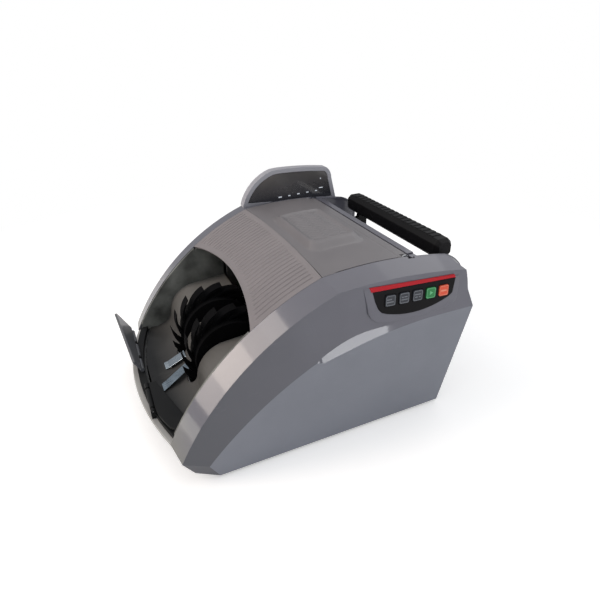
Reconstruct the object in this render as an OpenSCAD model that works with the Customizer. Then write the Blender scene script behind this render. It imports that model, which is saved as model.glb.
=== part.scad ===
// Banknote counting machine: a lidded hopper on top, a stacker pocket at the front,
// a key panel on one side, an upright display on the other and a carry handle at the back.
// X points to the key panel side, Y from the stacker to the back, Z up.
// Lengths along Y start at a datum just behind the front lip, heights start at the bottom of the case.

/* [Case] */
// Width over both side covers
body_w = 250; // [236:1:280]
// Width of each side cover
band_w = 25; // [22:1:32]
// Thickness of the plastic walls
wall = 2.5; // [2:0.1:3.5]
// Gap between neighbouring covers
seam = 0.3; // [0.2:0.05:0.6]
// How far the upper edge of each side leans in
edge_lean = 4; // [2:0.1:6]
// How far the rubber feet stand out below the case
foot_h = 3; // [2:0.5:8]
// Radius of a rubber foot
foot_r = 9; // [6:0.5:12]
// How far the feet sit in from the sides
foot_in = 45; // [37:1:75]

/* [Side outline] */
// Radius of the arched front
arch_r = 260; // [234:1:286]
// Distance of the front tip on the side covers
tip_y = 12; // [8:1:16]
// Height of the front tip on the side covers
tip_z = 28.3; // [26:0.1:30]
// Where the arch meets the lid
crease_y = 156; // [152:1:160]
// Height of the arch where it meets the lid
crease_z = 154; // [150:0.5:157]
// How far the outer edge of the band lies behind the inner edge
band_back = 5; // [2:0.5:8]
// How far the outer edge of the band lies below the inner edge
band_drop = 6; // [3:0.5:9]
// How far before the back the top starts to fall
top_fall = 21; // [16:1:27]
// Height of the top there
top_back_z = 150.3; // [147:0.5:153]
// Rise of the crowned top
top_crown = 5; // [3:0.5:7]
// Furthest point at the back
back_y = 303; // [300:1:312]
// Height of the upper back corner
corner_z = 134; // [126:1:140]
// Height of the crease along the side
waist_z = 103; // [96:1:108]
// How far the base ends before the back
base_in = 29; // [20:1:34]
// Start of the flat base
base_front_y = 46; // [40:1:48]

/* [Front lip] */
// Foremost point of the lip, in front of the datum
lip_out = 4.6; // [2:0.2:8]
// Height of the lip's tip
lip_z = 28; // [26:0.5:30]
// Depth of the lip's flat top
lip_ledge = 14; // [12:0.5:18]

/* [Ribbed cover] */
// How far its front edge curves back in the middle
arch_bow = 15; // [8:1:24]
// Distance of its front edge at the sides
arch_front_y = 91; // [84:0.5:94]
// How far the joint with the lid bows back in the middle
crease_bow = 4; // [1:0.5:6]
// Spacing of the ribs
rib_pitch = 6; // [4:0.25:9]
// Width of the groove between two ribs
groove_w = 1.6; // [0.8:0.1:2.4]
// Depth of the grooves
groove_d = 0.6; // [0.3:0.1:1.2]
// Smooth border round the ribs
rib_border = 4; // [2:0.5:8]

/* [Hopper lid] */
// Distance of the lid's hinge
lid_hinge_y = 241; // [238:0.5:243]
// Radius of the lid's hinge pin
lid_pin_r = 2; // [1.5:0.1:2.5]
// Outer radius of the hinge barrel
barrel_r = 4.6; // [4:0.1:5]
// Height of the raised pad
pad_h = 5; // [2:0.5:8]
// Width of the raised pad at its foot
pad_w = 114; // [80:1:140]
// Slope of the pad's sides, as a width
pad_slope = 14; // [4:1:18]
// Front edge of the raised pad
pad_front_y = 168; // [166:1:174]
// Back edge of the raised pad
pad_back_y = 227; // [215:1:229]

/* [Display] */
// Thickness of the display housing
disp_t = 10.4; // [9:0.2:13]
// Height of the display's upper edge
disp_top_z = 192; // [184:1:205]
// Front foot of the display
disp_front_y = 156; // [150:1:164]
// How far the display ends before the back
disp_back_in = 25; // [22:1:34]
// Width of the frame round the window
disp_rim = 5; // [4:0.5:10]

/* [Key panel] */
// Length of the key panel
panel_l = 86; // [80:1:94]
// Front end of the key panel
panel_y = 192; // [184:1:196]
// Height of the panel's upper front corner
panel_z = 142; // [138:1:143]
// Depth of the panel in its middle
panel_d = 26; // [22:1:30]
// How far the panel stands out
panel_proud = 0.8; // [0.4:0.1:1.2]
// Size of one button
button_s = 10; // [8:0.5:11]
// Spacing of the buttons
button_pitch = 14; // [12.5:0.5:15]
// How far a button stands out of the panel
button_proud = 1; // [0.8:0.1:1.2]

/* [Handle] */
// Length of the handle bar
bar_l = 176; // [140:1:186]
// Depth of the handle bar
bar_d = 20; // [16:1:22]
// Thickness of the handle bar
bar_t = 19; // [14:1:21]
// Height of the bar's middle
bar_z = 147.5; // [146:0.5:152]
// Distance of the handle's pivot from the back
pivot_in = 11; // [10:0.5:14]
// Height of the handle's pivot
pivot_z = 118; // [117:0.5:120]
// Radius of the pivot pins
pivot_r = 3; // [2:0.25:4]
// Distance of the arms from the middle
arm_x = 72; // [60:1:76]
// Thickness of an arm
arm_t = 6; // [4:0.5:8]

/* [Stacker] */
// Distance of the stacker shaft
stack_y = 90; // [87:0.5:93]
// Height of the stacker shaft
stack_z = 55.5; // [54.5:0.5:57]
// Outer radius of the stacker wheels, at the tips of the fins
wheel_r = 49; // [45:0.5:51]
// Radius of the drum that carries the fins
drum_r = 37; // [24:0.5:39]
// Width of a stacker wheel
wheel_w = 25; // [16:1:28]
// Distance of a stacker wheel from the middle
wheel_x = 25; // [22:1:30]
// Number of fins on a wheel
fin_count = 16; // [10:1:20]
// Angle that a fin sweeps back
fin_sweep = 40; // [20:1:50]
// Width of a fin
fin_w = 12; // [6:0.5:14]
// Height of the pocket floor at the front
floor_z = 28.6; // [28:0.1:29.5]
// Height of the hump behind the pocket
hump_z = 79; // [77:0.5:81]
// Foot of the hump
hump_y = 52.4; // [50:0.5:55]
// Length of a stop flap
flap_l = 74; // [60:1:74]
// Height of a stop flap at its outer end
flap_h = 28; // [20:1:30]
// Forward lean of the raised flap
flap_lean = 29; // [10:1:35]

/* [Drive] */
// Radius of the thin shafts
shaft_r = 3; // [2.5:0.25:3.5]
// Radius of the feed rollers
feed_r = 20; // [18:0.5:21]
// Radius of the pick-up rollers
pick_r = 13; // [12:0.25:13.5]
// Radius of the exit rollers
exit_r = 9; // [7:0.25:9]
// Radius of the pinch rollers
pinch_r = 8; // [7:0.25:8]
// Radius of the separating rollers
retard_r = 10; // [8:0.25:10.5]
// Thickness of the steel side plates
plate_t = 2; // [1.5:0.1:3]
// Radius of the motor
motor_r = 18; // [14:1:20]
// Length of the motor
motor_l = 58; // [40:1:64]
// Width of the drive belts
belt_w = 5; // [3:0.5:6]
// Thickness of the drive belts
belt_t = 1.5; // [1:0.1:2]

/* [Hidden] */

// ---- Derived sizes of the case ----
half_w = body_w / 2;
inner_x = half_w - band_w;
cover_x = inner_x - seam;
edge_x = half_w - edge_lean;
top_back_y = back_y - top_fall;
base_back_y = back_y - base_in;
foot_x = half_w - foot_in;
arch_chord = [crease_y - tip_y, crease_z - tip_z];
arch_c = [tip_y + crease_y, tip_z + crease_z] / 2 + [arch_chord[1], -arch_chord[0]]
    / norm(arch_chord) * sqrt(pow(arch_r, 2) - pow(norm(arch_chord), 2) / 4);
waist_front_y = 38;
waist_end_y = 175;
waist_r = 330;
waist_c = [waist_end_y + 106, waist_z - 312];
chin = [26, 8.4];
lip_r = (pow(inner_x, 2) + pow(tip_y + lip_out, 2)) / (2 * (tip_y + lip_out));
lip_cy = lip_r - lip_out;
slice_t = 0.2;
fit_gap = 0.05;
part_gap = 0.3;

// ---- Derived sizes of the inside ----
plate_x = inner_x - 4;
plate_in_x = plate_x - plate_t;
base_t = 2;
belt_x = inner_x + 1;
belt_x2 = belt_x + belt_w + 2.5;
feed_y = 163;
feed_z = 98;
exit_y = 137;
exit_z = 90;
pick_y = 206;
pick_z = 110.5;
pinch_y = exit_y + 2;
pinch_z = exit_z + exit_r + pinch_r + 0.6;
retard_y = 156;
retard_z = 128.5;
motor_y = 225;
motor_z = 50;
bush_r = 6;
feed_shaft_r = shaft_r + 1;
recess_z = pivot_z - 11;
pivot_y = back_y - pivot_in;
flap_lug_r = 2.2;
flap_pin_r = 1;
flap_t = 2.4;
sill_in = 5;
sill_w = 7;
sill_h = 4.2;
flap_y = 5.2;
flap_z = floor_z + sill_h + flap_lug_r + 0.6;
front_y = min(-lip_out, flap_y - sin(flap_lean) * flap_h - cos(flap_lean) * flap_t / 2);
mid_y = (front_y + back_y) / 2;

// ---- Helpers ----
// Height of a front arch at a distance y from the datum
function arch_z(c, y) = c[1] + sqrt(pow(arch_r, 2) - pow(y - c[0], 2));

// Points along a front arch, from one distance to another
function arch_pts(c, r, y0, y1, n = 24) =
    let (a0 = acos((y0 - c[0]) / r), a1 = acos((y1 - c[0]) / r))
    [for (i = [0:n]) let (a = a0 + (a1 - a0) * i / n) c + r * [cos(a), sin(a)]];

// Points along a circular arc from a to b that rises by h to the left of the way
function bow(a, b, h, n = 8) =
    let (
        d = b - a,
        l = norm(d),
        u = d / l,
        v = [-u[1], u[0]],
        r = (l * l / 4 + h * h) / (2 * abs(h)),
        s = sign(h),
        t = asin(min(1, l / 2 / r))
    )
    [for (i = [0:n]) let (p = -t + 2 * t * i / n)
        (a + b) / 2 + u * r * sin(p) + v * (h - s * r + s * r * cos(p))];

// The same path moved sideways by t, to its right
function beside(p, t) =
    [for (i = [0:len(p) - 1])
        let (d = p[min(i + 1, len(p) - 1)] - p[max(i - 1, 0)])
        p[i] + t * [d[1], -d[0]] / norm(d)];

function reversed(p) = [for (i = [len(p) - 1:-1:0]) p[i]];

// A strip of even thickness that follows a path
function strip(p, t) = concat(p, reversed(beside(p, t)));

// Puts the part's origin under the middle of its box
module place() translate([0, -mid_y, foot_h]) children();

// Extrudes a side view from x0 to x1
module along_x(x0, x1) translate([x0, 0, 0]) rotate([90, 0, 90]) linear_extrude(x1 - x0) children();

// A round rod along X
module rod(y, z, r, x0, x1) translate([x0, y, z]) rotate([0, 90, 0]) cylinder(r = r, h = x1 - x0, $fn = 48);

// A ring along X
module tube(y, z, r, bore, x0, x1) {
    difference() {
        rod(y, z, r, x0, x1);
        rod(y, z, bore, x0 - 1, x1 + 1);
    }
}

// Both copies of a thing on the two sides
module both() {
    children();
    mirror([1, 0, 0]) children();
}

module rounded(size, r) {
    offset(r = r, $fn = 32) square([size[0] - 2 * r, size[1] - 2 * r], center = true);
}

// ---- Outlines seen from the side ----
// Crowned line of the top, from the crease to where it starts to fall
top_line = bow([crease_y, crease_z], [top_back_y, top_back_z], top_crown, 12);

// Height of the crowned top at a distance y
function top_z(y) = lookup(y, [for (p = top_line) [p[0], p[1]]]);

lid_hinge_z = top_z(lid_hinge_y) - barrel_r;

back_line = [[back_y - 1, waist_z - 1], [base_back_y, 0], [base_front_y, 0]];

// Outline of the band: k = 0 at its inner edge, k = 1 at its outer edge
function band_outline(k) =
    let (
        c = arch_c + k * [band_back, -band_drop],
        y0 = crease_y + k * band_back,
        top = [top_back_y + 9 * k, top_back_z - 9.3 * k]
    )
    concat(
        arch_pts(c, arch_r, tip_y + k * band_back, y0),
        bow([y0, arch_z(c, y0)], top, top_crown - 0.7 * k, 12),
        bow(top, [back_y - 7 * k, corner_z - 13 * k], 2.5 - 2 * k, 5),
        back_line,
        [chin]
    );

waist_outline = concat(
    [for (i = [0:12])
        let (y = waist_front_y + (waist_end_y - waist_front_y) * i / 12)
        [y, waist_c[1] + sqrt(pow(waist_r, 2) - pow(y - waist_c[0], 2))]],
    [[back_y - 1, waist_z]],
    back_line
);

// Lower front of the hump, and its distance at a height z
hump_face = bow([hump_y - 8.4, floor_z + 4.2], [hump_y, floor_z + 18.2], -2, 6);
function hump_face_y(z) = lookup(z, [for (p = hump_face) [p[1], p[0]]]);

// Pocket floor, front of the hump and its top
pocket_line = concat(
    [[11, floor_z], [36, floor_z + 1.6]],
    hump_face,
    bow([hump_y + 0.3, floor_z + 19], [hump_y + 25.6, hump_z - 3.4], 6.1, 10),
    [[114, hump_z], [122, hump_z + 0.6]]
);

// ---- Case ----
module slice(x, inset, outline) {
    translate([x, 0, 0]) rotate([90, 0, 90]) linear_extrude(slice_t)
        offset(delta = -inset) polygon(outline);
}

module cover_block(inset, open) {
    hull() {
        slice(inner_x - open, inset, band_outline(0));
        slice(inner_x + band_w / 2, inset, band_outline(0.2));
        slice(edge_x - slice_t - inset, inset, band_outline(1));
        slice(half_w - slice_t - inset, inset, waist_outline);
    }
}

// Notch beside the lid's hinge, in the side covers and in the rim behind the lid
notch_w = 9;
notch_d = 2;
notch_y = [lid_hinge_y - 2, lid_hinge_y + 13];

// Screw places on the side plates
case_posts = [[112, 22], [238, 22], [222, 90]];
post_r = 4;
post_bore = 1.5;

module cover_shell() {
    difference() {
        cover_block(0, 0);
        cover_block(wall, 1);
        translate([inner_x - 1, notch_y[0], lid_hinge_z - notch_d])
            cube([notch_w - 3, notch_y[1] - notch_y[0], notch_d + 20]);
    }
    for (p = case_posts) {
        tube(p[0], p[1], post_r, post_bore, plate_x + part_gap, half_w - wall);
    }
}

// Frame of the key panel: origin on the side's crease, X forward along the case, Z out of the side
cheek_angle = atan(edge_lean / (top_back_z - 4 - waist_z));
module on_cheek() {
    translate([half_w, 0, waist_z]) rotate([0, -cheek_angle, 0]) rotate([90, 0, 90]) children();
}

panel_v = panel_z - waist_z;
panel_fall = 5;
panel_outline = concat(
    [[panel_y, panel_v], [panel_y + panel_l, panel_v - panel_fall]],
    [[panel_y + panel_l - 2.5, panel_v - panel_fall - 14]],
    bow([panel_y + panel_l - 6, panel_v - panel_fall - 16.5], [panel_y + 14, panel_v - 23.4],
        panel_d - 20, 10),
    [[panel_y + 9, panel_v - 21.2], [panel_y + 5.6, panel_v - 17.2], [panel_y + 2.6, panel_v - 10]]
);
panel_in = 1.2;
keys_y = panel_y + 17;
keys_v = panel_v - 11;
key_tilt = -3.4;

module key_places(i0 = 0, i1 = 4) {
    for (i = [i0:i1]) {
        translate([keys_y + i * button_pitch * cos(key_tilt), keys_v + i * button_pitch * sin(key_tilt), 0])
            rotate([0, 0, key_tilt]) children();
    }
}

module base_plate() {
    color("silver") place() {
        difference() {
            translate([-cover_x, base_front_y + 4, 0])
                cube([2 * cover_x, base_back_y - 7 - base_front_y, base_t]);
            for (x = [-48, 0, 48]) {
                for (y = [178, 188, 198, 208]) {
                    translate([x - 14, y, -1]) cube([28, 4, base_t + 2]);
                }
            }
        }
        both() {
            difference() {
                translate([plate_x + fit_gap, 66, base_t]) cube([cover_x - plate_x - fit_gap, 196, 10]);
                translate([plate_x + base_t, 65, base_t]) cube([cover_x, 198, 11]);
            }
        }
    }
}

module rubber_feet() {
    color("dimgray") place() both() {
        for (y = [66, 250]) {
            translate([foot_x, y, -foot_h]) cylinder(r1 = foot_r - 1, r2 = foot_r, h = foot_h, $fn = 48);
        }
    }
}

module front_lip() {
    skin = [
        [lip_r - lip_ledge, lip_z + 0.4],
        [lip_r - 0.8, lip_z + 0.4],
        [lip_r, lip_z - 0.8],
        [lip_r - 14, chin[1]],
        [lip_r - 34, 0]
    ];
    color("darkgray") place() intersection() {
        translate([0, lip_cy, 0]) rotate_extrude(angle = 360, $fn = 180)
            polygon(concat(
                skin,
                [[lip_r - 58, 0], [lip_r - 58, wall], [lip_r - 33, wall]],
                [[lip_r - 15.5, chin[1] + 1.6], [lip_r - wall - 1, lip_z - wall]],
                [[lip_r - lip_ledge, lip_z - wall]]
            ));
        translate([-cover_x, -20, -1]) cube([2 * cover_x, base_front_y + 23.5, 60]);
    }
}

module side_cover_right() {
    color("darkgray") place() difference() {
        cover_shell();
        on_cheek() translate([0, 0, -panel_in]) linear_extrude(10) offset(delta = 0.15)
            polygon(panel_outline);
        on_cheek() key_places() translate([0, 0, -6]) linear_extrude(10) square(button_s + 1, center = true);
    }
}

// The display stands in the case's top, so its feet follow the height of the top
disp_back_y = back_y - disp_back_in;
disp_foot_z = [top_z(disp_front_y) - 1, top_z(disp_back_y) - 7];
display_outline = concat(
    [[disp_front_y, disp_foot_z[0]]],
    bow([disp_front_y, disp_foot_z[0] + 3], [disp_front_y + 38, disp_top_z], 6.4, 8),
    bow([disp_front_y + 46, disp_top_z + 0.6], [disp_back_y - 14, disp_top_z - 4], 1.2, 6),
    bow([disp_back_y - 12, disp_top_z - 5], [disp_back_y - 6, disp_top_z - 18], 1.6, 4),
    [[disp_back_y + 1, disp_foot_z[1]]]
);
window_drop = 41;
disp_x = inner_x + 7.2;

module display_shape(inset) {
    offset(delta = -inset) polygon(display_outline);
}

module window_shape() {
    intersection() {
        display_shape(disp_rim);
        translate([disp_front_y, disp_top_z - window_drop]) square([body_w, window_drop]);
    }
}

module side_cover_left() {
    color("darkgray") place() difference() {
        mirror([1, 0, 0]) cover_shell();
        along_x(-disp_x - disp_t - seam, -disp_x + seam) offset(delta = seam) polygon(display_outline);
    }
}

module arch_cover() {
    color("darkgray") place() difference() {
        along_x(-cover_x, cover_x) difference() {
            translate(arch_c) circle(r = arch_r, $fn = 240);
            translate(arch_c) circle(r = arch_r - wall, $fn = 240);
        }
        translate([-150, -600, -500]) cube([300, 600 + arch_front_y - 5, 1000]);
        translate([-150, crease_y + crease_bow + 1, -500]) cube([300, 600, 1000]);
        translate([-150, 0, -500]) cube([300, 600, 540]);
        translate([0, arch_edge_c, -1]) cylinder(r = arch_edge_r, h = 300, $fn = 180);
        difference() {
            translate([-150, 130, 60]) cube([300, 100, 200]);
            translate([0, crease_edge_c, 0]) cylinder(r = crease_edge_r, h = 300, $fn = 180);
        }
        intersection() {
            for (i = [0:floor((cover_x - rib_border) / rib_pitch - 0.5)]) {
                both() along_x(rib_pitch * (i + 0.5) - groove_w / 2, rib_pitch * (i + 0.5) + groove_w / 2) {
                    difference() {
                        translate(arch_c) circle(r = arch_r + 5, $fn = 240);
                        translate(arch_c) circle(r = arch_r - groove_d, $fn = 240);
                    }
                }
            }
            difference() {
                translate([-150, 60, 60]) cube([300, crease_y - rib_border - 60, 200]);
                translate([0, arch_edge_c, 0]) cylinder(r = arch_edge_r + rib_border, h = 400, $fn = 180);
            }
        }
    }
}

// Vertical cylinders that cut the curved front edge and the bowed joint with the lid
arch_edge_r = (pow(inner_x, 2) + pow(arch_bow, 2)) / (2 * arch_bow);
arch_edge_c = arch_front_y + arch_bow - arch_edge_r;
crease_edge_r = (pow(inner_x, 2) + pow(crease_bow, 2)) / (2 * crease_bow);
crease_edge_c = crease_y + crease_bow - crease_edge_r;

// Upper edge of the back panel, below the recess for the handle
back_edge = [back_y - 0.4, waist_z];
// Slope of the back panel, with its frame: origin on the lower edge, X to the side, Y up the panel
back_angle = atan((back_edge[0] - base_back_y) / back_edge[1]);
module on_back() {
    translate([0, base_back_y, 0]) rotate([90 - back_angle, 0, 0]) mirror([0, 0, 1]) children();
}
inlet_x = cover_x - 43.7;
inlet_v = 36;
vent_pitch = 7;
vent_x = -78;
vent_v = 62;
inlet_size = [48, 28];
switch_dx = 15;

module back_cover() {
    line = [
        [lid_hinge_y + 12.5, lid_hinge_z + 2.8],
        [lid_hinge_y + barrel_r + 1.2, lid_hinge_z + 2.8],
        [lid_hinge_y + barrel_r + 1.2, recess_z],
        [back_y - 1.5, recess_z],
        back_edge,
        [base_back_y, 0]
    ];
    inner = [
        [base_back_y - 3, 0],
        [back_y - 3.6, waist_z + 0.5],
        [back_y - 4, recess_z - wall],
        [lid_hinge_y + barrel_r + 1.2 - 0.1, recess_z - wall]
    ];
    color("darkgray") place() {
        difference() {
            along_x(-cover_x, cover_x) polygon(concat(
                [line[2], line[3], line[4], line[5]],
                inner
            ));
            on_back() translate([inlet_x, inlet_v, -10]) linear_extrude(20) square(inlet_size, center = true);
            for (i = [0:6]) {
                on_back() translate([vent_x + i * vent_pitch, vent_v, -10]) linear_extrude(20)
                    square([vent_pitch - 4, 34], center = true);
            }
        }
        difference() {
            along_x(-cover_x, cover_x) polygon([
                [line[1][0], recess_z - wall],
                line[1],
                line[0],
                line[0] - [0, wall],
                [line[1][0] + wall, line[1][1] - wall],
                [line[1][0] + wall, recess_z - wall]
            ]);
            both() translate([cover_x - notch_w, line[1][0] - 1, lid_hinge_z - notch_d])
                cube([notch_w + 1, 16, notch_d + 10]);
        }
        both() {
            difference() {
                union() {
                    rod(pivot_y, pivot_z, 8, arm_x - arm_t / 2 - 7, arm_x - arm_t / 2 - part_gap);
                    translate([arm_x - arm_t / 2 - 7, pivot_y - 8, recess_z - 1])
                        cube([7 - part_gap, 16, pivot_z - recess_z + 1]);
                }
                rod(pivot_y, pivot_z, pivot_r + fit_gap, arm_x - arm_t / 2 - 8, arm_x);
            }
        }
    }
}

module case_screws() {
    head_r = 3;
    head_h = 1.8;
    color("silver") place() both() {
        for (p = case_posts) {
            rod(p[0], p[1], head_r, plate_in_x - head_h, plate_in_x);
            rod(p[0], p[1], post_bore - fit_gap, plate_in_x, plate_x + 12);
        }
    }
}

// ---- Hopper ----
lid_t = 2.6;
ear_x = plate_in_x - 0.5;
tray_back = [lid_hinge_y + 2, 128];
tray_front = [186, 118.4];
tray_t = 2.2;
pick_x = 30;
pick_w = 18;
feed_x = 30;
feed_w = 22;
retard_x = 30;
retard_w = 14;
lid_skirt = 7;

module hopper_lid() {
    flat_y = lid_hinge_y - barrel_r - 0.8;
    line = [for (y = [crease_y - 1:6:flat_y]) [y, top_z(max(y, crease_y))]];
    all = concat(line, [[lid_hinge_y, top_z(lid_hinge_y)]]);
    color("darkgray") place() difference() {
        union() {
            difference() {
                along_x(-cover_x, cover_x) polygon(strip(all, lid_t));
                translate([0, crease_edge_c, -1]) cylinder(r = crease_edge_r + 2 * seam, h = 300, $fn = 180);
                both() translate([ear_x, flat_y - 1, 0]) cube([50, 50, 300]);
            }
            rod(lid_hinge_y, lid_hinge_z, barrel_r, -ear_x, ear_x);
            both() translate([plate_in_x - 5, 184, top_z(200) - lid_skirt]) cube([wall, 40, lid_skirt - 2]);
            lid_pad();
        }
        rod(lid_hinge_y, lid_hinge_z, lid_pin_r + fit_gap, -ear_x - 1, ear_x + 1);
    }
}

module lid_pad() {
    y = (pad_front_y + pad_back_y) / 2;
    l = pad_back_y - pad_front_y;
    z = top_z(y);
    hull() {
        translate([0, y, z - 1.2]) linear_extrude(0.4) rounded([pad_w, l], 10);
        translate([0, y, z + pad_h - 2]) linear_extrude(0.4)
            rounded([pad_w - 2 * pad_slope, l - 0.6 * pad_slope], 7);
        translate([0, y, z + pad_h - 0.4]) linear_extrude(0.4)
            rounded([pad_w - 2 * pad_slope - 3, l - 0.6 * pad_slope - 3], 6);
    }
}

module lid_pins() {
    color("silver") place() both() rod(lid_hinge_y, lid_hinge_z, lid_pin_r, plate_in_x - 14, plate_x + 1.5);
}

module hopper_tray() {
    color("dimgray") place() difference() {
        along_x(-plate_in_x + part_gap, plate_in_x - part_gap) {
            polygon([
                tray_front, tray_back, tray_back - [0, tray_t],
                tray_front - [0.4, tray_t], tray_front - [3, 5]
            ]);
        }
        both() translate([pick_x - pick_w / 2 - 1, pick_y - pick_r - 1, 0])
            cube([pick_w + 2, 2 * pick_r + 2, 300]);
    }
}

module note_stop() {
    y = retard_y + retard_r + 5;
    color("dimgray") place() difference() {
        translate([-plate_in_x + part_gap, y, feed_z + feed_r + 6])
            cube([2 * (plate_in_x - part_gap), 2, 22]);
        translate([-26, y - 1, feed_z + feed_r + 18]) cube([52, 4, 12]);
    }
}

// ---- Display ----
module display_housing() {
    color("darkgray") place() difference() {
        along_x(-disp_x - disp_t, -disp_x) display_shape(0);
        along_x(-disp_x - disp_t + 1.8, -disp_x - 3) display_shape(1.8);
        along_x(-disp_x - 4, -disp_x + 1) window_shape();
    }
}

module display_window() {
    color([0.12, 0.13, 0.14]) place() {
        along_x(-disp_x - 2.2, -disp_x - 0.4) offset(delta = -0.15) window_shape();
    }
}

digit_w = 11;
digit_h = 17;
digit_y = disp_front_y + 36;
digit_z = disp_top_z - 26;
led_y = [for (i = [0:4]) disp_front_y + 47 + 12 * i];
led_z = disp_top_z - 33;

module display_board() {
    back = -disp_x - disp_t + 1.8;
    color("darkgreen") place() {
        along_x(back, back + 1.6) offset(delta = -6) intersection() {
            display_shape(2);
            translate([0, disp_top_z - window_drop - 1]) square([back_y, window_drop]);
        }
        for (i = [0:3]) {
            translate([back + 1.6, digit_y + i * (digit_w + 2.5), digit_z - digit_h / 2])
                cube([4.2, digit_w, digit_h]);
        }
        for (y = led_y) {
            rod(y, led_z, 1.2, back + 1.6, -disp_x - 2.6);
        }
    }
}

// ---- Key panel ----
module key_panel() {
    color([0.07, 0.07, 0.08]) place() on_cheek() difference() {
        translate([0, 0, -panel_in]) linear_extrude(panel_in + panel_proud) polygon(panel_outline);
        key_places() translate([0, 0, -6]) linear_extrude(12) square(button_s + 0.6, center = true);
    }
}

module button(i, tint) {
    stem = 1.2;
    top = panel_proud + button_proud;
    color(tint) place() on_cheek() key_places(i, i) {
        translate([0, 0, top - 3.2]) linear_extrude(3.2) rounded([button_s, button_s], 1.6);
        translate([0, 0, top - 3.2 - stem]) cylinder(r = 2, h = stem, $fn = 32);
    }
}

module button_1() button(0, "gray");
module button_2() button(1, "gray");
module button_3() button(2, "gray");
module start_button() button(3, "limegreen");
module reset_button() button(4, "orangered");

button_travel = 0.6;

// Board behind the keys, with one switch under each
module key_board() {
    top = panel_proud + button_proud - 3.2 - 1.2 - button_travel - 0.2;
    color("darkgreen") place() on_cheek() {
        translate([panel_y + 8, keys_v - 13, top - 3.6]) linear_extrude(1.6) square([panel_l - 14, 19]);
        key_places() translate([0, 0, top - 2]) linear_extrude(2) square(5, center = true);
        for (y = [panel_y + 10.5, panel_y + panel_l - 9]) {
            translate([y, keys_v - 10, top - 2]) cylinder(r = 1.8, h = -wall - top + 1.9, $fn = 32);
        }
    }
}

// ---- Handle ----
module bar_section() {
    c = 4;
    polygon([
        [-bar_d / 2 + c, -bar_t / 2], [bar_d / 2 - c, -bar_t / 2], [bar_d / 2, -bar_t / 2 + c],
        [bar_d / 2, bar_t / 2 - c], [bar_d / 2 - c, bar_t / 2], [-bar_d / 2 + c, bar_t / 2],
        [-bar_d / 2, bar_t / 2 - c], [-bar_d / 2, -bar_t / 2 + c]
    ]);
}

bar_y = back_y - bar_d / 2 - 0.6;
rib_count = 19;
arm_r = 9.6;

module handle_bar() {
    end = 5;
    color([0.06, 0.06, 0.07]) place() {
        hull() {
            along_x(-bar_l / 2 + end, bar_l / 2 - end) translate([bar_y, bar_z]) bar_section();
            along_x(-bar_l / 2, bar_l / 2) translate([bar_y, bar_z]) scale(0.7) bar_section();
        }
        for (i = [0:rib_count - 1]) {
            translate([(i - (rib_count - 1) / 2) * 8 - 2.5, bar_y - bar_d / 2 + 4.5, bar_z + bar_t / 2 - 0.2])
                cube([5, bar_d - 9, 0.9]);
        }
    }
}

module handle_arms() {
    top = bar_z - bar_t / 2;
    color([0.06, 0.06, 0.07]) place() both() difference() {
        union() {
            rod(pivot_y, pivot_z, arm_r, arm_x - arm_t / 2, arm_x + arm_t / 2);
            along_x(arm_x - arm_t / 2, arm_x + arm_t / 2) polygon([
                [pivot_y - arm_r, pivot_z], [pivot_y + arm_r, pivot_z], [pivot_y + arm_r, top],
                [pivot_y - 0.5, top], [pivot_y - 1.5, top - 6], [pivot_y - arm_r + 2, top - 8.5],
                [pivot_y - arm_r, top - 10.5]
            ]);
        }
        rod(pivot_y, pivot_z, pivot_r + fit_gap, arm_x - arm_t, arm_x + arm_t);
    }
}

module handle_pins() {
    color("silver") place() both() {
        rod(pivot_y, pivot_z, pivot_r, arm_x - arm_t / 2 - 7, arm_x + arm_t / 2 + 0.4);
        rod(pivot_y, pivot_z, pivot_r + 2, arm_x + arm_t / 2 + 0.4, arm_x + arm_t / 2 + 2);
    }
}

// ---- Stacker ----
liner_t = 2.2;
slot_gap = 2;
liner_x = plate_x + 1;
cheek_x = liner_x + fit_gap;

slot_r = wheel_w / 2 + slot_gap;
slot_z = floor_z + 5;
slot_y = stack_y - sqrt(pow(wheel_r + slot_gap, 2) - pow(stack_z - slot_z, 2)) + slot_r;

// Opening for a stacker wheel in the floor and the hump, round at the front
module wheel_slot() {
    translate([wheel_x, slot_y, 0]) cylinder(r = slot_r, h = 300, $fn = 64);
    translate([wheel_x - slot_r, slot_y, 0]) cube([2 * slot_r, 400, 300]);
}

module pocket_liner() {
    color([0.45, 0.46, 0.47]) place() {
        difference() {
            intersection() {
                along_x(-liner_x, liner_x) polygon(strip(pocket_line, liner_t));
                translate([0, lip_cy, 0]) cylinder(r = lip_r - lip_ledge - seam, h = 200, $fn = 180);
            }
            both() wheel_slot();
        }
        both() difference() {
            along_x(plate_in_x - 10, plate_in_x - part_gap) polygon([
                [hump_y + 12, base_t + 12], [hump_y + 20, base_t + 12], [118, hump_z - liner_t - 6],
                [118, hump_z - liner_t + 0.2], [114, hump_z - liner_t],
                [hump_y + 25.6, hump_z - 3.4 - liner_t]
            ]);
            rod(stack_y, stack_z, bush_r + 3, 0, half_w);
        }
    }
}

module pocket_cheek_right() pocket_cheek();
module pocket_cheek_left() mirror([1, 0, 0]) pocket_cheek();

module pocket_cheek() {
    ledge_y = lip_cy - sqrt(pow(lip_r - lip_ledge, 2) - pow(cover_x, 2)) + part_gap;
    low = [for (p = pocket_line) if (p[0] > ledge_y) p - [0, liner_t + 3]];
    color([0.2, 0.21, 0.22]) place() along_x(cheek_x, cover_x - fit_gap) polygon(concat(
        reversed(low),
        [[ledge_y, low[0][1]], [ledge_y, floor_z], [tip_y + 5, floor_z]],
        arch_pts(arch_c, arch_r - 0.5, tip_y + 5, arch_front_y - 1, 16),
        arch_pts(arch_c, arch_r - wall - 0.4, arch_front_y - 1, 122, 6)
    ));
}

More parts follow.
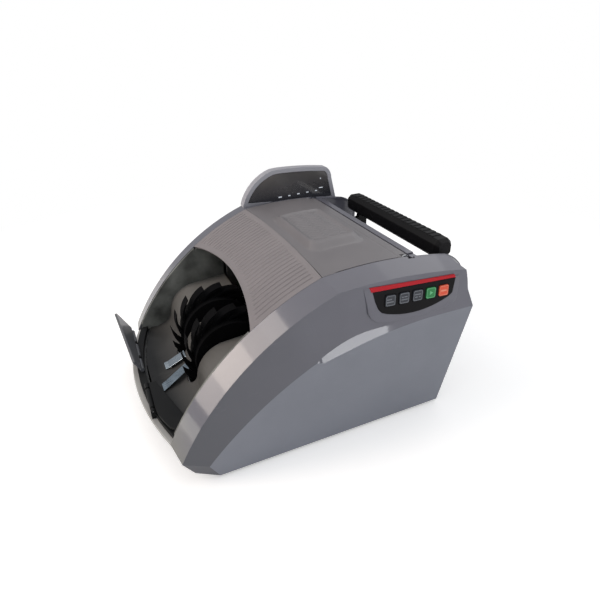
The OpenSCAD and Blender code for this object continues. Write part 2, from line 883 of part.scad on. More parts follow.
// Rail behind the lip that carries the two flaps
module stop_sill() {
    color([0.12, 0.12, 0.13]) place() {
        intersection() {
            translate([0, lip_cy, floor_z + fit_gap]) difference() {
                cylinder(r = lip_r - sill_in, h = sill_h, $fn = 180);
                translate([0, 0, -1]) cylinder(r = lip_r - sill_in - sill_w, h = sill_h + 2, $fn = 180);
            }
            translate([-liner_x + 1, -20, 0]) cube([2 * liner_x - 2, 80, 60]);
        }
        both() for (x = [flap_x0 + lug_at[0], flap_x0 + lug_at[1]]) {
            difference() {
                union() {
                    rod(flap_y, flap_z, flap_lug_r, x, x + 4);
                    translate([x, flap_y - flap_lug_r, floor_z + fit_gap])
                        cube([4, 2 * flap_lug_r, flap_z - floor_z]);
                }
                rod(flap_y, flap_z, flap_pin_r + fit_gap, x - 1, x + 5);
            }
        }
    }
}

flap_x0 = liner_x - flap_l - 3;
lug_at = [8, 38];

// A flap in its own frame: hinge along X at the origin, standing up
module flap_blank() {
    low_h = 9;
    difference() {
        union() {
            rotate([90, 0, 0]) translate([0, 0, -flap_t / 2]) linear_extrude(flap_t) polygon([
                [0, 0], [flap_l, 0], [flap_l + 2, flap_h - 4],
                [flap_l, flap_h], [flap_l - 4, flap_h - 1], [0, low_h]
            ]);
            rod(0, 0, flap_lug_r, 0, flap_l);
        }
        rod(0, 0, flap_pin_r + fit_gap, -1, flap_l + 1);
        for (x = lug_at) {
            translate([x - 0.3, -flap_lug_r - 1, -flap_lug_r - 1])
                cube([4.6, 2 * flap_lug_r + 2, 2 * flap_lug_r + 2.2]);
        }
    }
}

module stop_flap_left() {
    color("darkgray") place() translate([0, flap_y, flap_z]) mirror([1, 0, 0])
        translate([flap_x0, 0, 0]) rotate([flap_lean, 0, 0]) flap_blank();
}

module stop_flap_right() {
    color([0.2, 0.21, 0.22]) place() translate([flap_x0, flap_y, flap_z]) rotate([-90, 0, 0]) flap_blank();
}

module flap_pins() {
    color("silver") place() both() {
        rod(flap_y, flap_z, flap_pin_r, flap_x0 + 1, flap_x0 + flap_l - 1);
    }
}

strip_w = 12;
strip_t = 0.7;
strip_end_z = floor_z + 11.6;

// Sprung metal strip that leads from the hump down to the floor, from back_x to front_x
module guide_strip(back_x, front_x, y0) {
    y1 = hump_face_y(strip_end_z - strip_t) - strip_t / 2 - fit_gap;
    color("lightsteelblue") place() intersection() {
        along_x(-half_w, half_w)
            polygon(strip([[y0, floor_z + 2.1], [y0 + 4, floor_z + 3], [y1, strip_end_z]], strip_t));
        linear_extrude(hump_z) polygon([
            [front_x, y0 - 1], [front_x + strip_w, y0 - 1], [back_x + strip_w, y1 + 1], [back_x, y1 + 1]
        ]);
    }
}

module guide_strip_right() guide_strip(3, 18, 19.5);
module guide_strip_left() guide_strip(-17, -17, 27.5);

// Side view of one curved fin, its root inside the drum
module fin() {
    root = drum_r - 1;
    root_a = 9;
    rise = 4;
    tip = wheel_r * [cos(fin_sweep), -sin(fin_sweep)];
    polygon(concat(
        bow([root, 0], tip, rise, 7),
        reversed(bow(root * [cos(root_a), -sin(root_a)], tip * (wheel_r - 0.5) / wheel_r, rise - 1.8, 7))
    ));
}

module stacker_wheel(side) {
    x0 = side * wheel_x;
    color([0.05, 0.05, 0.055]) place() translate([0, stack_y, stack_z]) difference() {
        union() {
            along_x(x0 - wheel_w / 2, x0 + wheel_w / 2) circle(r = drum_r, $fn = 96);
            along_x(x0 - fin_w / 2, x0 + fin_w / 2) difference() {
                for (i = [0:fin_count - 1]) {
                    rotate(i * 360 / fin_count + 6) fin();
                }
                circle(r = drum_r - 2, $fn = 96);
            }
        }
        rod(0, 0, shaft_r + fit_gap, x0 - wheel_w, x0 + wheel_w);
    }
}

module stacker_wheel_right() stacker_wheel(1);
module stacker_wheel_left() stacker_wheel(-1);

module stacker_shaft() {
    color("silver") place() rod(stack_y, stack_z, shaft_r, -belt_x - belt_w - 3, plate_x + 3);
}

// ---- Frame and drive ----
// Every place where a shaft runs in the side plates: distance, height, shaft radius
bearings = [
    [stack_y, stack_z, shaft_r],
    [feed_y, feed_z, feed_shaft_r],
    [exit_y, exit_z, shaft_r],
    [pick_y, pick_z, shaft_r]
];
tie_places = [[152, 26], [256, 84], [142, 133]];
tie_r = 4;

module frame_plate(side) {
    motor_hole = 8;
    x0 = side > 0 ? plate_in_x : -plate_x;
    under_recess = recess_z - wall - 1.5;
    color("lightgray") place() difference() {
        union() {
            along_x(x0, x0 + plate_t) polygon([
                [66, base_t + fit_gap], [66, 56], [72, 66], [80, 71], [118, 72.5], [124.5, 74], [124.5, 128],
                [134, 136], [150, 144], [170, 150.5], [lid_hinge_y - 6, 150.5],
                [lid_hinge_y + 3, lid_hinge_z - 6], [lid_hinge_y + 3, under_recess], [262, under_recess - 4],
                [262, base_t + fit_gap]
            ]);
            rod(lid_hinge_y, lid_hinge_z, barrel_r - 0.3, x0, x0 + plate_t);
        }
        for (b = bearings) {
            rod(b[0], b[1], bush_r, -half_w, half_w);
        }
        rod(retard_y, retard_z, shaft_r, -half_w, half_w);
        rod(pinch_y, pinch_z, shaft_r - 0.5, -half_w, half_w);
        rod(lid_hinge_y, lid_hinge_z, lid_pin_r, -half_w, half_w);
        for (p = case_posts) {
            rod(p[0], p[1], post_bore, -half_w, half_w);
        }
        if (side < 0) rod(motor_y, motor_z, motor_hole, -half_w, 0);
    }
}

module frame_plate_right() frame_plate(1);
module frame_plate_left() frame_plate(-1);

module tie_bars() {
    color("silver") place() for (p = tie_places) {
        rod(p[0], p[1], tie_r, -plate_in_x + fit_gap, plate_in_x - fit_gap);
    }
}

module shaft_bushes() {
    color("goldenrod") place() both() for (b = bearings) {
        tube(b[0], b[1], bush_r - fit_gap, b[2] + fit_gap, plate_in_x - 1, plate_x + 1);
        tube(b[0], b[1], bush_r + 1.4, b[2] + fit_gap, plate_in_x - 2.4, plate_in_x - 1);
    }
}

module pulley(y, z, r, bore, x0, x1) {
    tube(y, z, r, bore, x0, x1);
    tube(y, z, r + 1.6, bore, x0 - 1, x0);
    tube(y, z, r + 1.6, bore, x1, x1 + 1);
}

// Radius of each pulley
stack_pulley_r = 24;
exit_pulley_in_r = 7;
exit_pulley_out_r = 8;
feed_pulley_in_r = 15;
feed_pulley_out_r = 14;
pick_pulley_r = 12;
motor_pulley_r = 8;
run_gap = 0.25;

module stacker_pulley() {
    color([0.85, 0.83, 0.76]) place()
        pulley(stack_y, stack_z, stack_pulley_r, shaft_r + fit_gap, -belt_x - belt_w, -belt_x);
}

module feed_shaft() {
    color("silver") place() rod(feed_y, feed_z, feed_shaft_r, -belt_x2 - belt_w - 3, belt_x + belt_w + 8.5);
}

module feed_rollers() {
    color([0.16, 0.15, 0.15]) place() both() {
        tube(feed_y, feed_z, feed_r, feed_shaft_r + fit_gap, feed_x - feed_w / 2, feed_x + feed_w / 2);
        tube(
            feed_y, feed_z, feed_shaft_r + 5, feed_shaft_r + fit_gap,
            feed_x + feed_w / 2, feed_x + feed_w / 2 + 8
        );
    }
}

module feed_pulleys() {
    color([0.85, 0.83, 0.76]) place() {
        pulley(feed_y, feed_z, feed_pulley_in_r, feed_shaft_r + fit_gap, -belt_x - belt_w, -belt_x);
        pulley(feed_y, feed_z, feed_pulley_out_r, feed_shaft_r + fit_gap, -belt_x2 - belt_w, -belt_x2);
        pulley(feed_y, feed_z, pick_pulley_r, feed_shaft_r + fit_gap, belt_x, belt_x + belt_w);
    }
}

module pickup_shaft() {
    color("silver") place() {
        rod(pick_y, pick_z, shaft_r, -plate_x - 3, belt_x + belt_w + 3);
        pulley(pick_y, pick_z, pick_pulley_r, shaft_r - 0.5, belt_x, belt_x + belt_w);
    }
}

module pickup_rollers() {
    color([0.16, 0.15, 0.15]) place() both() difference() {
        tube(pick_y, pick_z, pick_r, shaft_r + fit_gap, pick_x - pick_w / 2, pick_x + pick_w / 2);
        for (a = [0:30:330]) {
            translate([0, pick_y, pick_z]) rotate([a, 0, 0]) translate([0, pick_r - 0.8, -0.8])
                cube([60, 2, 1.6]);
        }
    }
}

module exit_shaft() {
    color("silver") place() {
        rod(exit_y, exit_z, shaft_r, -belt_x2 - belt_w - 3, plate_x + 3);
        pulley(exit_y, exit_z, exit_pulley_in_r, shaft_r - 0.5, -belt_x - belt_w, -belt_x);
        pulley(exit_y, exit_z, exit_pulley_out_r, shaft_r - 0.5, -belt_x2 - belt_w, -belt_x2);
    }
}

exit_x = 60;
exit_w = 16;

module exit_rollers() {
    color([0.16, 0.15, 0.15]) place() both() {
        tube(exit_y, exit_z, exit_r, shaft_r + fit_gap, exit_x - exit_w / 2, exit_x + exit_w / 2);
    }
}

module pinch_shaft() {
    color("silver") place() {
        rod(pinch_y, pinch_z, shaft_r - 0.5 - fit_gap, -plate_x - 2, plate_x + 2);
        both() rod(pinch_y, pinch_z, pinch_r, exit_x - exit_w / 2, exit_x + exit_w / 2);
    }
}

module retard_rollers() {
    color([0.5, 0.2, 0.16]) place() {
        rod(retard_y, retard_z, shaft_r - fit_gap, -plate_x - 2, plate_x + 2);
        both() rod(retard_y, retard_z, retard_r, retard_x - retard_w / 2, retard_x + retard_w / 2);
    }
}

motor_shaft_r = 2.5;

module drive_motor() {
    color("gray") place() {
        difference() {
            rod(motor_y, motor_z, motor_r, -plate_in_x + fit_gap, -plate_in_x + motor_l);
            rod(motor_y, motor_z, motor_shaft_r + fit_gap, -plate_in_x - 1, -plate_in_x + 8);
        }
        tube(motor_y, motor_z, 7.5, motor_shaft_r + fit_gap, -plate_x - 1, -plate_in_x + fit_gap);
        rod(motor_y, motor_z, 9, -plate_in_x + motor_l, -plate_in_x + motor_l + 4);
    }
}

module motor_pulley() {
    color([0.85, 0.83, 0.76]) place() {
        rod(motor_y, motor_z, motor_shaft_r, -belt_x - belt_w - 3, -plate_in_x + 7);
        pulley(motor_y, motor_z, motor_pulley_r, motor_shaft_r - 0.5, -belt_x - belt_w, -belt_x);
    }
}

// Outline of a belt round two pulleys, at a distance from their rims
module belt_shape(a, ra, b, rb) {
    d = b - a;
    phi = atan2(d[1], d[0]);
    beta = acos((ra - rb) / norm(d));
    translate(a) circle(r = ra, $fn = 96);
    translate(b) circle(r = rb, $fn = 96);
    polygon([
        a + ra * [cos(phi + beta), sin(phi + beta)], b + rb * [cos(phi + beta), sin(phi + beta)],
        b + rb * [cos(phi - beta), sin(phi - beta)], a + ra * [cos(phi - beta), sin(phi - beta)]
    ]);
}

module belt(a, ra, b, rb, x0) {
    along_x(x0 + 0.4, x0 + belt_w - 0.4) difference() {
        belt_shape(a, ra + run_gap + belt_t, b, rb + run_gap + belt_t);
        belt_shape(a, ra + run_gap, b, rb + run_gap);
    }
}

module drive_belts() {
    feed = [feed_y, feed_z];
    exit = [exit_y, exit_z];
    color([0.1, 0.1, 0.1]) place() {
        belt([motor_y, motor_z], motor_pulley_r, feed, feed_pulley_in_r, -belt_x - belt_w);
        belt(exit, exit_pulley_in_r, [stack_y, stack_z], stack_pulley_r, -belt_x - belt_w);
        belt(feed, feed_pulley_out_r, exit, exit_pulley_out_r, -belt_x2 - belt_w);
        belt(feed, pick_pulley_r, [pick_y, pick_z], pick_pulley_r, belt_x);
    }
}

disc_r = 18;
disc_x = belt_x + belt_w + 4;

module counter_disc() {
    color([0.2, 0.2, 0.2]) place() difference() {
        tube(feed_y, feed_z, disc_r, feed_shaft_r + fit_gap, disc_x, disc_x + 1);
        for (a = [0:15:345]) {
            translate([disc_x - 1, feed_y, feed_z]) rotate([a, 0, 0])
                translate([0, disc_r - 5, -0.8]) cube([3, 3.6, 1.6]);
        }
    }
}

// Light gate at the disc's lower edge, on an arm from the side plate
module counter_sensor() {
    w = 10;
    arm_z = feed_z - disc_r - 10;
    color([0.1, 0.1, 0.12]) place() difference() {
        translate([plate_x + fit_gap, feed_y - w / 2, arm_z]) cube([disc_x - plate_x + 5, w, 13]);
        translate([disc_x - 1, feed_y - w, arm_z + 9]) cube([3, 2 * w, 20]);
    }
}

// ---- Electronics ----
board_x = [inner_x - 112, inner_x - 16];
board_y = [base_back_y - 106, base_back_y - 58];
board_z = base_t + 9;

module main_board() {
    color("darkgreen") place() {
        translate([board_x[0], board_y[0], board_z])
            cube([board_x[1] - board_x[0], board_y[1] - board_y[0], 1.6]);
        for (x = [board_x[0] + 5, board_x[1] - 5]) {
            for (y = [board_y[0] + 5, board_y[1] - 5]) {
                translate([x, y, base_t]) cylinder(r = 3, h = board_z - base_t, $fn = 32);
            }
        }
        translate([board_x[0] + 30, board_y[0] + 16, board_z + 1.6]) cube([16, 16, 2]);
        translate([board_x[0] + 62, board_y[0] + 8, board_z + 1.6]) cube([10, 30, 8]);
        for (i = [0:3]) {
            translate([board_x[0] + 12, board_y[0] + 9 + i * 10, board_z + 1.6])
                cylinder(r = 3.4, h = 11, $fn = 32);
        }
    }
}

module power_supply() {
    x = inner_x - 80;
    y = base_back_y - 50;
    color("orange") place() {
        translate([x, y, base_t]) cube([58, 34, 3]);
        translate([x + 6, y + 4, base_t + 3]) cube([34, 28, 30]);
        translate([x + 1, y + 9, base_t + 3]) cube([44, 18, 24]);
        translate([x + 51, y + 12, base_t + 3]) cylinder(r = 5, h = 20, $fn = 48);
    }
}

// Mains inlet with its fuse drawer and the frame of the switch, in one housing
rocker_size = [12, 19];
rocker_pin_r = 1;
rocker_pin_v = -3;

module power_inlet() {
    flange = 2;
    depth = 18;
    color([0.1, 0.1, 0.1]) place() on_back() translate([inlet_x, inlet_v, 0]) difference() {
        union() {
            linear_extrude(flange) rounded([inlet_size[0] + 8, inlet_size[1] + 6], 2.5);
            translate([0, 0, -depth]) linear_extrude(depth) square(inlet_size - [0.4, 0.4], center = true);
        }
        translate([-10, 2.5, -depth + 2]) linear_extrude(depth + flange) square([23, 16], center = true);
        translate([-10, -9.6, flange - 0.8]) linear_extrude(2) square([21, 5.4], center = true);
        translate([switch_dx, 0, -depth + 4]) linear_extrude(depth + flange)
            square(rocker_size + [0.8, 0.8], center = true);
        translate([switch_dx - 9, 0, rocker_pin_v]) rotate([0, 90, 0])
            cylinder(r = rocker_pin_r + fit_gap, h = 18, $fn = 32);
    }
    color("silver") place() on_back() translate([inlet_x, inlet_v, 0]) {
        for (x = [-7, 0, 7]) {
            translate([-10 + x - 0.8, 2.5 + (x == 0 ? 3 : -2) - 2, -depth + 2]) cube([1.6, 4, 9]);
        }
    }
}

// Rocker of the mains switch, tipped to its off side
module power_switch() {
    tip = 8;
    color([0.08, 0.08, 0.08]) place() on_back() translate([inlet_x + switch_dx, inlet_v, rocker_pin_v]) {
        rotate([tip, 0, 0]) rotate([90, 0, 90]) translate([0, 0, -rocker_size[0] / 2])
            linear_extrude(rocker_size[0])
            polygon([[-8.2, 3.5], [-8.6, 6.4], [0, 5], [8.6, 6.4], [8.2, 3.5], [2.4, -2.2], [-2.4, -2.2]]);
        rotate([0, 90, 0]) cylinder(r = rocker_pin_r, h = rocker_size[0] + 4, center = true, $fn = 32);
    }
}

base_plate();
rubber_feet();
front_lip();
side_cover_right();
side_cover_left();
arch_cover();
back_cover();
case_screws();
hopper_lid();
lid_pins();
hopper_tray();
note_stop();
display_housing();
display_window();
display_board();
key_panel();
key_board();
button_1();
button_2();
button_3();
start_button();
reset_button();
handle_bar();
handle_arms();
handle_pins();
pocket_liner();
pocket_cheek_right();
pocket_cheek_left();
stop_sill();
stop_flap_right();
stop_flap_left();
flap_pins();
guide_strip_right();
guide_strip_left();
frame_plate_right();
frame_plate_left();
tie_bars();
shaft_bushes();
stacker_shaft();
stacker_wheel_right();
stacker_wheel_left();
stacker_pulley();
feed_shaft();
feed_rollers();
feed_pulleys();
pickup_shaft();
pickup_rollers();
exit_shaft();
exit_rollers();
pinch_shaft();
retard_rollers();
drive_motor();
motor_pulley();
drive_belts();
counter_disc();
counter_sensor();
main_board();
power_supply();
power_inlet();
power_switch();
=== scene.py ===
"""Banknote counting machine: the looks, the floor, the light and the camera.

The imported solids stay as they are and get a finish. The pieces that are built here repeat the solids'
sizes, in millimetres from a datum behind the front lip, and put() brings them into the frame, in metres:
X to the key panel side, Y from the stacker to the back, Z up. The order is helpers, finishes, pieces, stage.
"""
import bpy
import bmesh
from math import acos, asin, atan, atan2, copysign, cos, dist, exp, hypot, pi, radians, sin, sqrt
from mathutils import Matrix, Vector


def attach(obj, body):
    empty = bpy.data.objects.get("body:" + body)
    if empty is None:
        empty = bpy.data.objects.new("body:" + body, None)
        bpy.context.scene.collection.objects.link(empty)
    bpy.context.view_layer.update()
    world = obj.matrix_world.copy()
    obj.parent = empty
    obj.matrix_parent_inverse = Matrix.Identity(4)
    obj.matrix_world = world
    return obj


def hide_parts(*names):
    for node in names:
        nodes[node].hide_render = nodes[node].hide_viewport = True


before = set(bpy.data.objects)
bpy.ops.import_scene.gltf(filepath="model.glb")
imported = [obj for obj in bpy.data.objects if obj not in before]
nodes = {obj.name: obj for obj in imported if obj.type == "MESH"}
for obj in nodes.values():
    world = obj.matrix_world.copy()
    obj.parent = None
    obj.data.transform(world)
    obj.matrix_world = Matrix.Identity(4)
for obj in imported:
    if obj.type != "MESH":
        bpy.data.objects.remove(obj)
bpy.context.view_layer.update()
MM = 0.001


# ---------------------------------------------------------------- helpers: nodes
def srgb(r, g, b):
    """A screen colour, 0 to 255, as the linear colour that a shader takes."""
    def lin(c):
        c /= 255
        return c / 12.92 if c <= 0.04045 else ((c + 0.055) / 1.055) ** 2.4
    return (lin(r), lin(g), lin(b), 1.0)


class Net:
    """Places nodes in one tree and joins their sockets."""

    def __init__(self, tree):
        self.tree = tree

    def add(self, kind, values=(), **settings):
        node = self.tree.nodes.new(kind)
        for name, value in settings.items():
            setattr(node, name, value)
        for name, value in dict(values).items():
            self.feed(value, node.inputs[name])
        return node

    def feed(self, value, socket):
        if isinstance(value, bpy.types.NodeSocket):
            self.tree.links.new(value, socket)
        else:
            socket.default_value = value

    def math(self, operation, a, b=0.0, clamp=False):
        node = self.add("ShaderNodeMath", {0: a, 1: b}, operation=operation)
        node.use_clamp = clamp
        return node.outputs[0]

    def plus(self, a, b, clamp=False):
        return self.math("ADD", a, b, clamp)

    def minus(self, a, b):
        return self.math("SUBTRACT", a, b)

    def times(self, a, b, clamp=False):
        return self.math("MULTIPLY", a, b, clamp)

    def ramp(self, value, low, high, to_low=0.0, to_high=1.0):
        node = self.add("ShaderNodeMapRange", {
            "Value": value, "From Min": low, "From Max": high, "To Min": to_low, "To Max": to_high})
        return node.outputs["Result"]

    def mix(self, factor, a, b):
        node = self.add("ShaderNodeMix", data_type="RGBA")
        for socket, value in ((0, factor), (6, a), (7, b)):
            self.feed(value, node.inputs[socket])
        return node.outputs[2]

    def here(self):
        """Place on the piece, as a vector."""
        return self.add("ShaderNodeTexCoord").outputs["Object"]

    def noise(self, place, scale, detail, **more):
        values = {"Vector": place, "Scale": scale, "Detail": detail, **more}
        return self.add("ShaderNodeTexNoise", values).outputs["Fac"]

    def masked(self, mask, breaks, amount):
        """A mask that a second one breaks up, times an amount, kept between 0 and 1."""
        return self.times(self.times(mask, breaks), amount, True)


def named_tree(name, inputs, outputs, kind="Shader"):
    """A node tree with named sockets: its net, the sockets it is given and those it has to feed."""
    tree = bpy.data.node_groups.new(name, kind + "NodeTree")
    for label, (sort, value) in inputs.items():
        socket = tree.interface.new_socket(label, in_out="INPUT", socket_type="NodeSocket" + sort)
        if value is not None:
            socket.default_value = value
    for label, sort in outputs.items():
        tree.interface.new_socket(label, in_out="OUTPUT", socket_type="NodeSocket" + sort)
    net = Net(tree)
    return net, net.add("NodeGroupInput").outputs, net.add("NodeGroupOutput").inputs


# ---------------------------------------------------------------- shared effects
def make_mottle():
    """Slow, soft colour variation of moulded plastic, and its fine grain as a height."""
    net, given, out = named_tree(
        "mottle",
        {"Patch Size": ("Float", 40.0), "Grain Size": ("Float", 0.5)},
        {"Patches": "Float", "Grain": "Float"})
    place = net.here()
    patches = net.noise(place, net.math("DIVIDE", 1000.0, given["Patch Size"]), 3.0)
    net.feed(net.ramp(patches, 0.3, 0.7), out["Patches"])
    net.feed(net.noise(place, net.math("DIVIDE", 1000.0, given["Grain Size"]), 2.0), out["Grain"])
    return net.tree


def make_scuffs():
    """Thin handling scratches, mostly along Y, broken into short runs."""
    net, given, out = named_tree(
        "scuffs",
        {"Spacing": ("Float", 3.0), "Amount": ("Float", 0.5)},
        {"Mask": "Float"})
    place = net.here()
    lines = net.add("ShaderNodeMapping", {
        "Vector": place, "Rotation": (0.5, 0.3, 0.2), "Scale": (9.0, 0.7, 6.0)})
    streaks = net.noise(lines.outputs[0], net.math("DIVIDE", 300.0, given["Spacing"]), 3.0)
    runs = net.noise(place, 28.0, 2.0)
    thin, broken = net.ramp(streaks, 0.63, 0.7), net.ramp(runs, 0.5, 0.66)
    net.feed(net.masked(thin, broken, given["Amount"]), out["Mask"])
    return net.tree


def make_edge_wear():
    """Mask of the rubbed edges: where the rounded normal leaves the true one."""
    net, given, out = named_tree(
        "edge_wear",
        {"Rounded Normal": ("Vector", None), "Amount": ("Float", 0.5)},
        {"Mask": "Float"})
    true_normal = net.add("ShaderNodeNewGeometry").outputs["Normal"]
    turn = net.add("ShaderNodeVectorMath", {0: given["Rounded Normal"], 1: true_normal},
                   operation="DOT_PRODUCT")
    edge = net.ramp(turn.outputs["Value"], 0.995, 0.86)
    rubbed = net.ramp(net.noise(net.here(), 160.0, 3.0), 0.35, 0.62)
    net.feed(net.masked(edge, rubbed, given["Amount"]), out["Mask"])
    return net.tree


def make_dust():
    """Thin dust that settles on faces that look up."""
    net, given, out = named_tree("dust", {"Amount": ("Float", 0.3)}, {"Mask": "Float"})
    up = net.add("ShaderNodeSeparateXYZ", {"Vector": net.add("ShaderNodeNewGeometry").outputs["Normal"]})
    flat = net.ramp(up.outputs["Z"], 0.35, 1.0)
    specks = net.ramp(net.noise(net.here(), 55.0, 5.0, Roughness=0.7), 0.38, 0.75)
    net.feed(net.masked(flat, specks, given["Amount"]), out["Mask"])
    return net.tree


def make_brushing():
    """Fine lines of ground or rolled metal, along the axis that is stretched."""
    net, given, out = named_tree(
        "brushing",
        {"Stretch": ("Vector", (1.0, 30.0, 30.0)), "Fineness": ("Float", 60.0)},
        {"Lines": "Float"})
    drawn = net.add("ShaderNodeMapping", {"Vector": net.here(), "Scale": given["Stretch"]})
    net.feed(net.noise(drawn.outputs[0], given["Fineness"], 4.0), out["Lines"])
    return net.tree


MOTTLE = make_mottle()
SCUFFS = make_scuffs()
EDGE_WEAR = make_edge_wear()
DUST = make_dust()
BRUSHING = make_brushing()


# ---------------------------------------------------------------- finishes
def new_material(name):
    material = bpy.data.materials.new(name)
    material.use_nodes = True
    material.node_tree.nodes.clear()
    net = Net(material.node_tree)
    shader = net.add("ShaderNodeBsdfPrincipled")
    end = net.add("ShaderNodeOutputMaterial", {"Surface": shader.outputs[0]})
    return material, net, shader, end


def group(net, tree, values):
    """Places a shared effect in a material, with its own values."""
    node = net.add("ShaderNodeGroup", node_tree=tree)
    for name, value in values.items():
        net.feed(value, node.inputs[name])
    return node.outputs


def scaled(colour, factor, lift=0.0):
    """A colour made lighter or darker, at most 1 in each channel."""
    return [min(1.0, c * factor + lift) for c in colour[:3]] + [1.0]


def bump(net, shader, height, depth, **more):
    """Gives a shader its relief; depth is in millimetres."""
    values = {"Strength": 1.0, "Distance": depth * MM, "Height": height, **more}
    net.feed(net.add("ShaderNodeBump", values).outputs[0], shader.inputs["Normal"])


def set_plain(shader, **values):
    """Sets sockets that are the same all over the surface; _ stands for a space in a name."""
    for name, value in values.items():
        shader.inputs[name.replace("_", " ")].default_value = value


WORN = (1.35, 0.03)          # how rubbed plastic turns paler: times, plus
DUST_COLOUR = (0.42, 0.40, 0.37)
DUST_SHARE = 0.28
EDGE_ROUND = 0.9             # how far an edge is shaded round and worn, in millimetres
METAL_ROUND = 0.3            # the same for metal


def plastic(name, colour, rough=0.4, coat=0.0, coat_rough=0.2, grain=0.5, grain_depth=0.02,
            tint=0.06, wear=0.5, dust=0.15, scuffed=0.5, lustre=0.5, patch=45.0, painted_fade=None):
    """Moulded plastic: grain, patches of tone, rubbed edges, scratches and dust.

    The last argument paints light and shade into the colour: an axis or an upright centre line,
    two places along or out from it and a colour, which the finish has before the first place.
    """
    material, net, shader, _ = new_material(name)
    mottle = group(net, MOTTLE, {"Patch Size": patch, "Grain Size": grain})
    scuffs = group(net, SCUFFS, {"Spacing": 3.0, "Amount": scuffed})
    rounded = net.add("ShaderNodeBevel", {"Radius": EDGE_ROUND * MM}, samples=4)
    edges = group(net, EDGE_WEAR, {"Rounded Normal": rounded.outputs[0], "Amount": wear})
    film = group(net, DUST, {"Amount": dust})
    worn = scaled(colour, *WORN)
    dusty = [(1 - DUST_SHARE) * c + DUST_SHARE * d for c, d in zip(colour[:3], DUST_COLOUR)] + [1.0]
    tone = net.mix(mottle["Patches"], scaled(colour, 1 - tint), scaled(colour, 1 + tint, 0.002))
    # Painted light and shade: a colour laid over one end of the surface, darker for shade, lighter for a
    # reflection.
    if painted_fade:
        axis, first, last, painted_tone = painted_fade
        if isinstance(axis, str):
            place = net.add("ShaderNodeSeparateXYZ", {0: net.here()}).outputs[axis]
        else:
            level = net.add("ShaderNodeVectorMath", {0: net.here(), 1: (1.0, 1.0, 0.0)},
                            operation="MULTIPLY")
            place = net.add("ShaderNodeVectorMath", {0: level.outputs[0], 1: axis},
                            operation="DISTANCE").outputs[1]
        tone = net.mix(net.ramp(place, first, last), painted_tone, tone)
    tone = net.mix(edges["Mask"], tone, worn)
    tone = net.mix(net.times(scuffs["Mask"], 0.35), tone, worn)
    tone = net.mix(film["Mask"], tone, dusty)
    net.feed(tone, shader.inputs["Base Color"])
    base = net.ramp(mottle["Patches"], 0.0, 1.0, rough - 0.04, rough + 0.05)
    rougher = net.plus(base, net.times(scuffs["Mask"], 0.25))
    rougher = net.plus(rougher, net.times(film["Mask"], 0.3), True)
    net.feed(rougher, shader.inputs["Roughness"])
    set_plain(shader, Specular_IOR_Level=lustre, Coat_Weight=coat, Coat_Roughness=coat_rough)
    bump(net, shader, mottle["Grain"], grain_depth, Normal=rounded.outputs[0])
    return material


def rubber(name, colour, rough=0.75):
    """Soft rubber: matt, a little chalky where it is touched."""
    return plastic(name, colour, rough=rough, grain=0.8, grain_depth=0.05, tint=0.15, wear=0.35,
                   dust=0.25, scuffed=0.3, lustre=0.35)


def metal(name, colour, rough=0.3, stretch=(1.0, 30.0, 30.0), lines=0.12):
    """Bare metal with drawn lines, faint stains and brighter edges."""
    material, net, shader, _ = new_material(name)
    drawn = group(net, BRUSHING, {"Stretch": stretch, "Fineness": 70.0})
    mottle = group(net, MOTTLE, {"Patch Size": 12.0, "Grain Size": 1.5})
    rounded = net.add("ShaderNodeBevel", {"Radius": METAL_ROUND * MM}, samples=4)
    edges = group(net, EDGE_WEAR, {"Rounded Normal": rounded.outputs[0], "Amount": 0.6})
    tone = net.mix(mottle["Patches"], scaled(colour, 0.85), colour)
    tone = net.mix(edges["Mask"], tone, scaled(colour, 1.2, 0.03))
    net.feed(tone, shader.inputs["Base Color"])
    set_plain(shader, Metallic=1.0)
    base = net.ramp(drawn["Lines"], 0.3, 0.7, rough - lines, rough + lines)
    net.feed(net.plus(base, net.times(mottle["Patches"], 0.08), True), shader.inputs["Roughness"])
    bump(net, shader, drawn["Lines"], 0.004, Normal=rounded.outputs[0])
    return material


def smoked_glass(name):
    """Dark tinted window with a faint wipe of dust, painted lighter towards its top as a reflection."""
    material, net, shader, _ = new_material(name)
    film = group(net, MOTTLE, {"Patch Size": 25.0, "Grain Size": 0.6})
    scuffs = group(net, SCUFFS, {"Spacing": 1.5, "Amount": 0.08})
    place = net.add("ShaderNodeSeparateXYZ", {0: net.here()})
    # Painted reflection: the glass turns lighter and warmer towards its top, over its dark tint.
    smoke_and_reflection = net.mix(net.ramp(place.outputs["Z"], 0.158, 0.184), srgb(56, 57, 64), srgb(104, 100, 97))
    tone = net.mix(net.ramp(film["Patches"], 0.0, 1.0, 0.0, 0.5), smoke_and_reflection, srgb(64, 64, 69))
    net.feed(tone, shader.inputs["Base Color"])
    gloss = net.ramp(film["Patches"], 0.0, 1.0, 0.1, 0.22)
    net.feed(net.plus(gloss, net.times(scuffs["Mask"], 0.3), True), shader.inputs["Roughness"])
    set_plain(shader, Alpha=0.86, Coat_Weight=0.6, Coat_Roughness=0.06)
    bump(net, shader, film["Grain"], 0.004, Strength=0.4)
    return material


def glow(name, colour, strength):
    """Printed or lit mark behind the window."""
    material, net, shader, _ = new_material(name)
    mottle = group(net, MOTTLE, {"Patch Size": 4.0, "Grain Size": 0.4})
    tone = net.mix(mottle["Patches"], scaled(colour, 0.8), colour)
    net.feed(tone, shader.inputs["Base Color"])
    net.feed(tone, shader.inputs["Emission Color"])
    set_plain(shader, Emission_Strength=strength, Roughness=0.4)
    return material


CASE = dict(colour=srgb(96, 96, 107), rough=0.36, coat=0.9, coat_rough=0.08, tint=0.05, dust=0.08,
            grain_depth=0.006)
DARK = dict(colour=srgb(15, 17, 19), rough=0.5, tint=0.15, wear=0.2, lustre=0.2)
KEY = dict(rough=0.42, grain_depth=0.01)
MARK = dict(rough=0.5, grain_depth=0.01, wear=0.2)
# The lip's painted shade lies inside this curve, a little in from its radius.
LIP_CENTRE = (0.0, 158.1 * MM, 0.0)     # middle of the lip's curve
LIP_RADIUS = 309.5 * MM
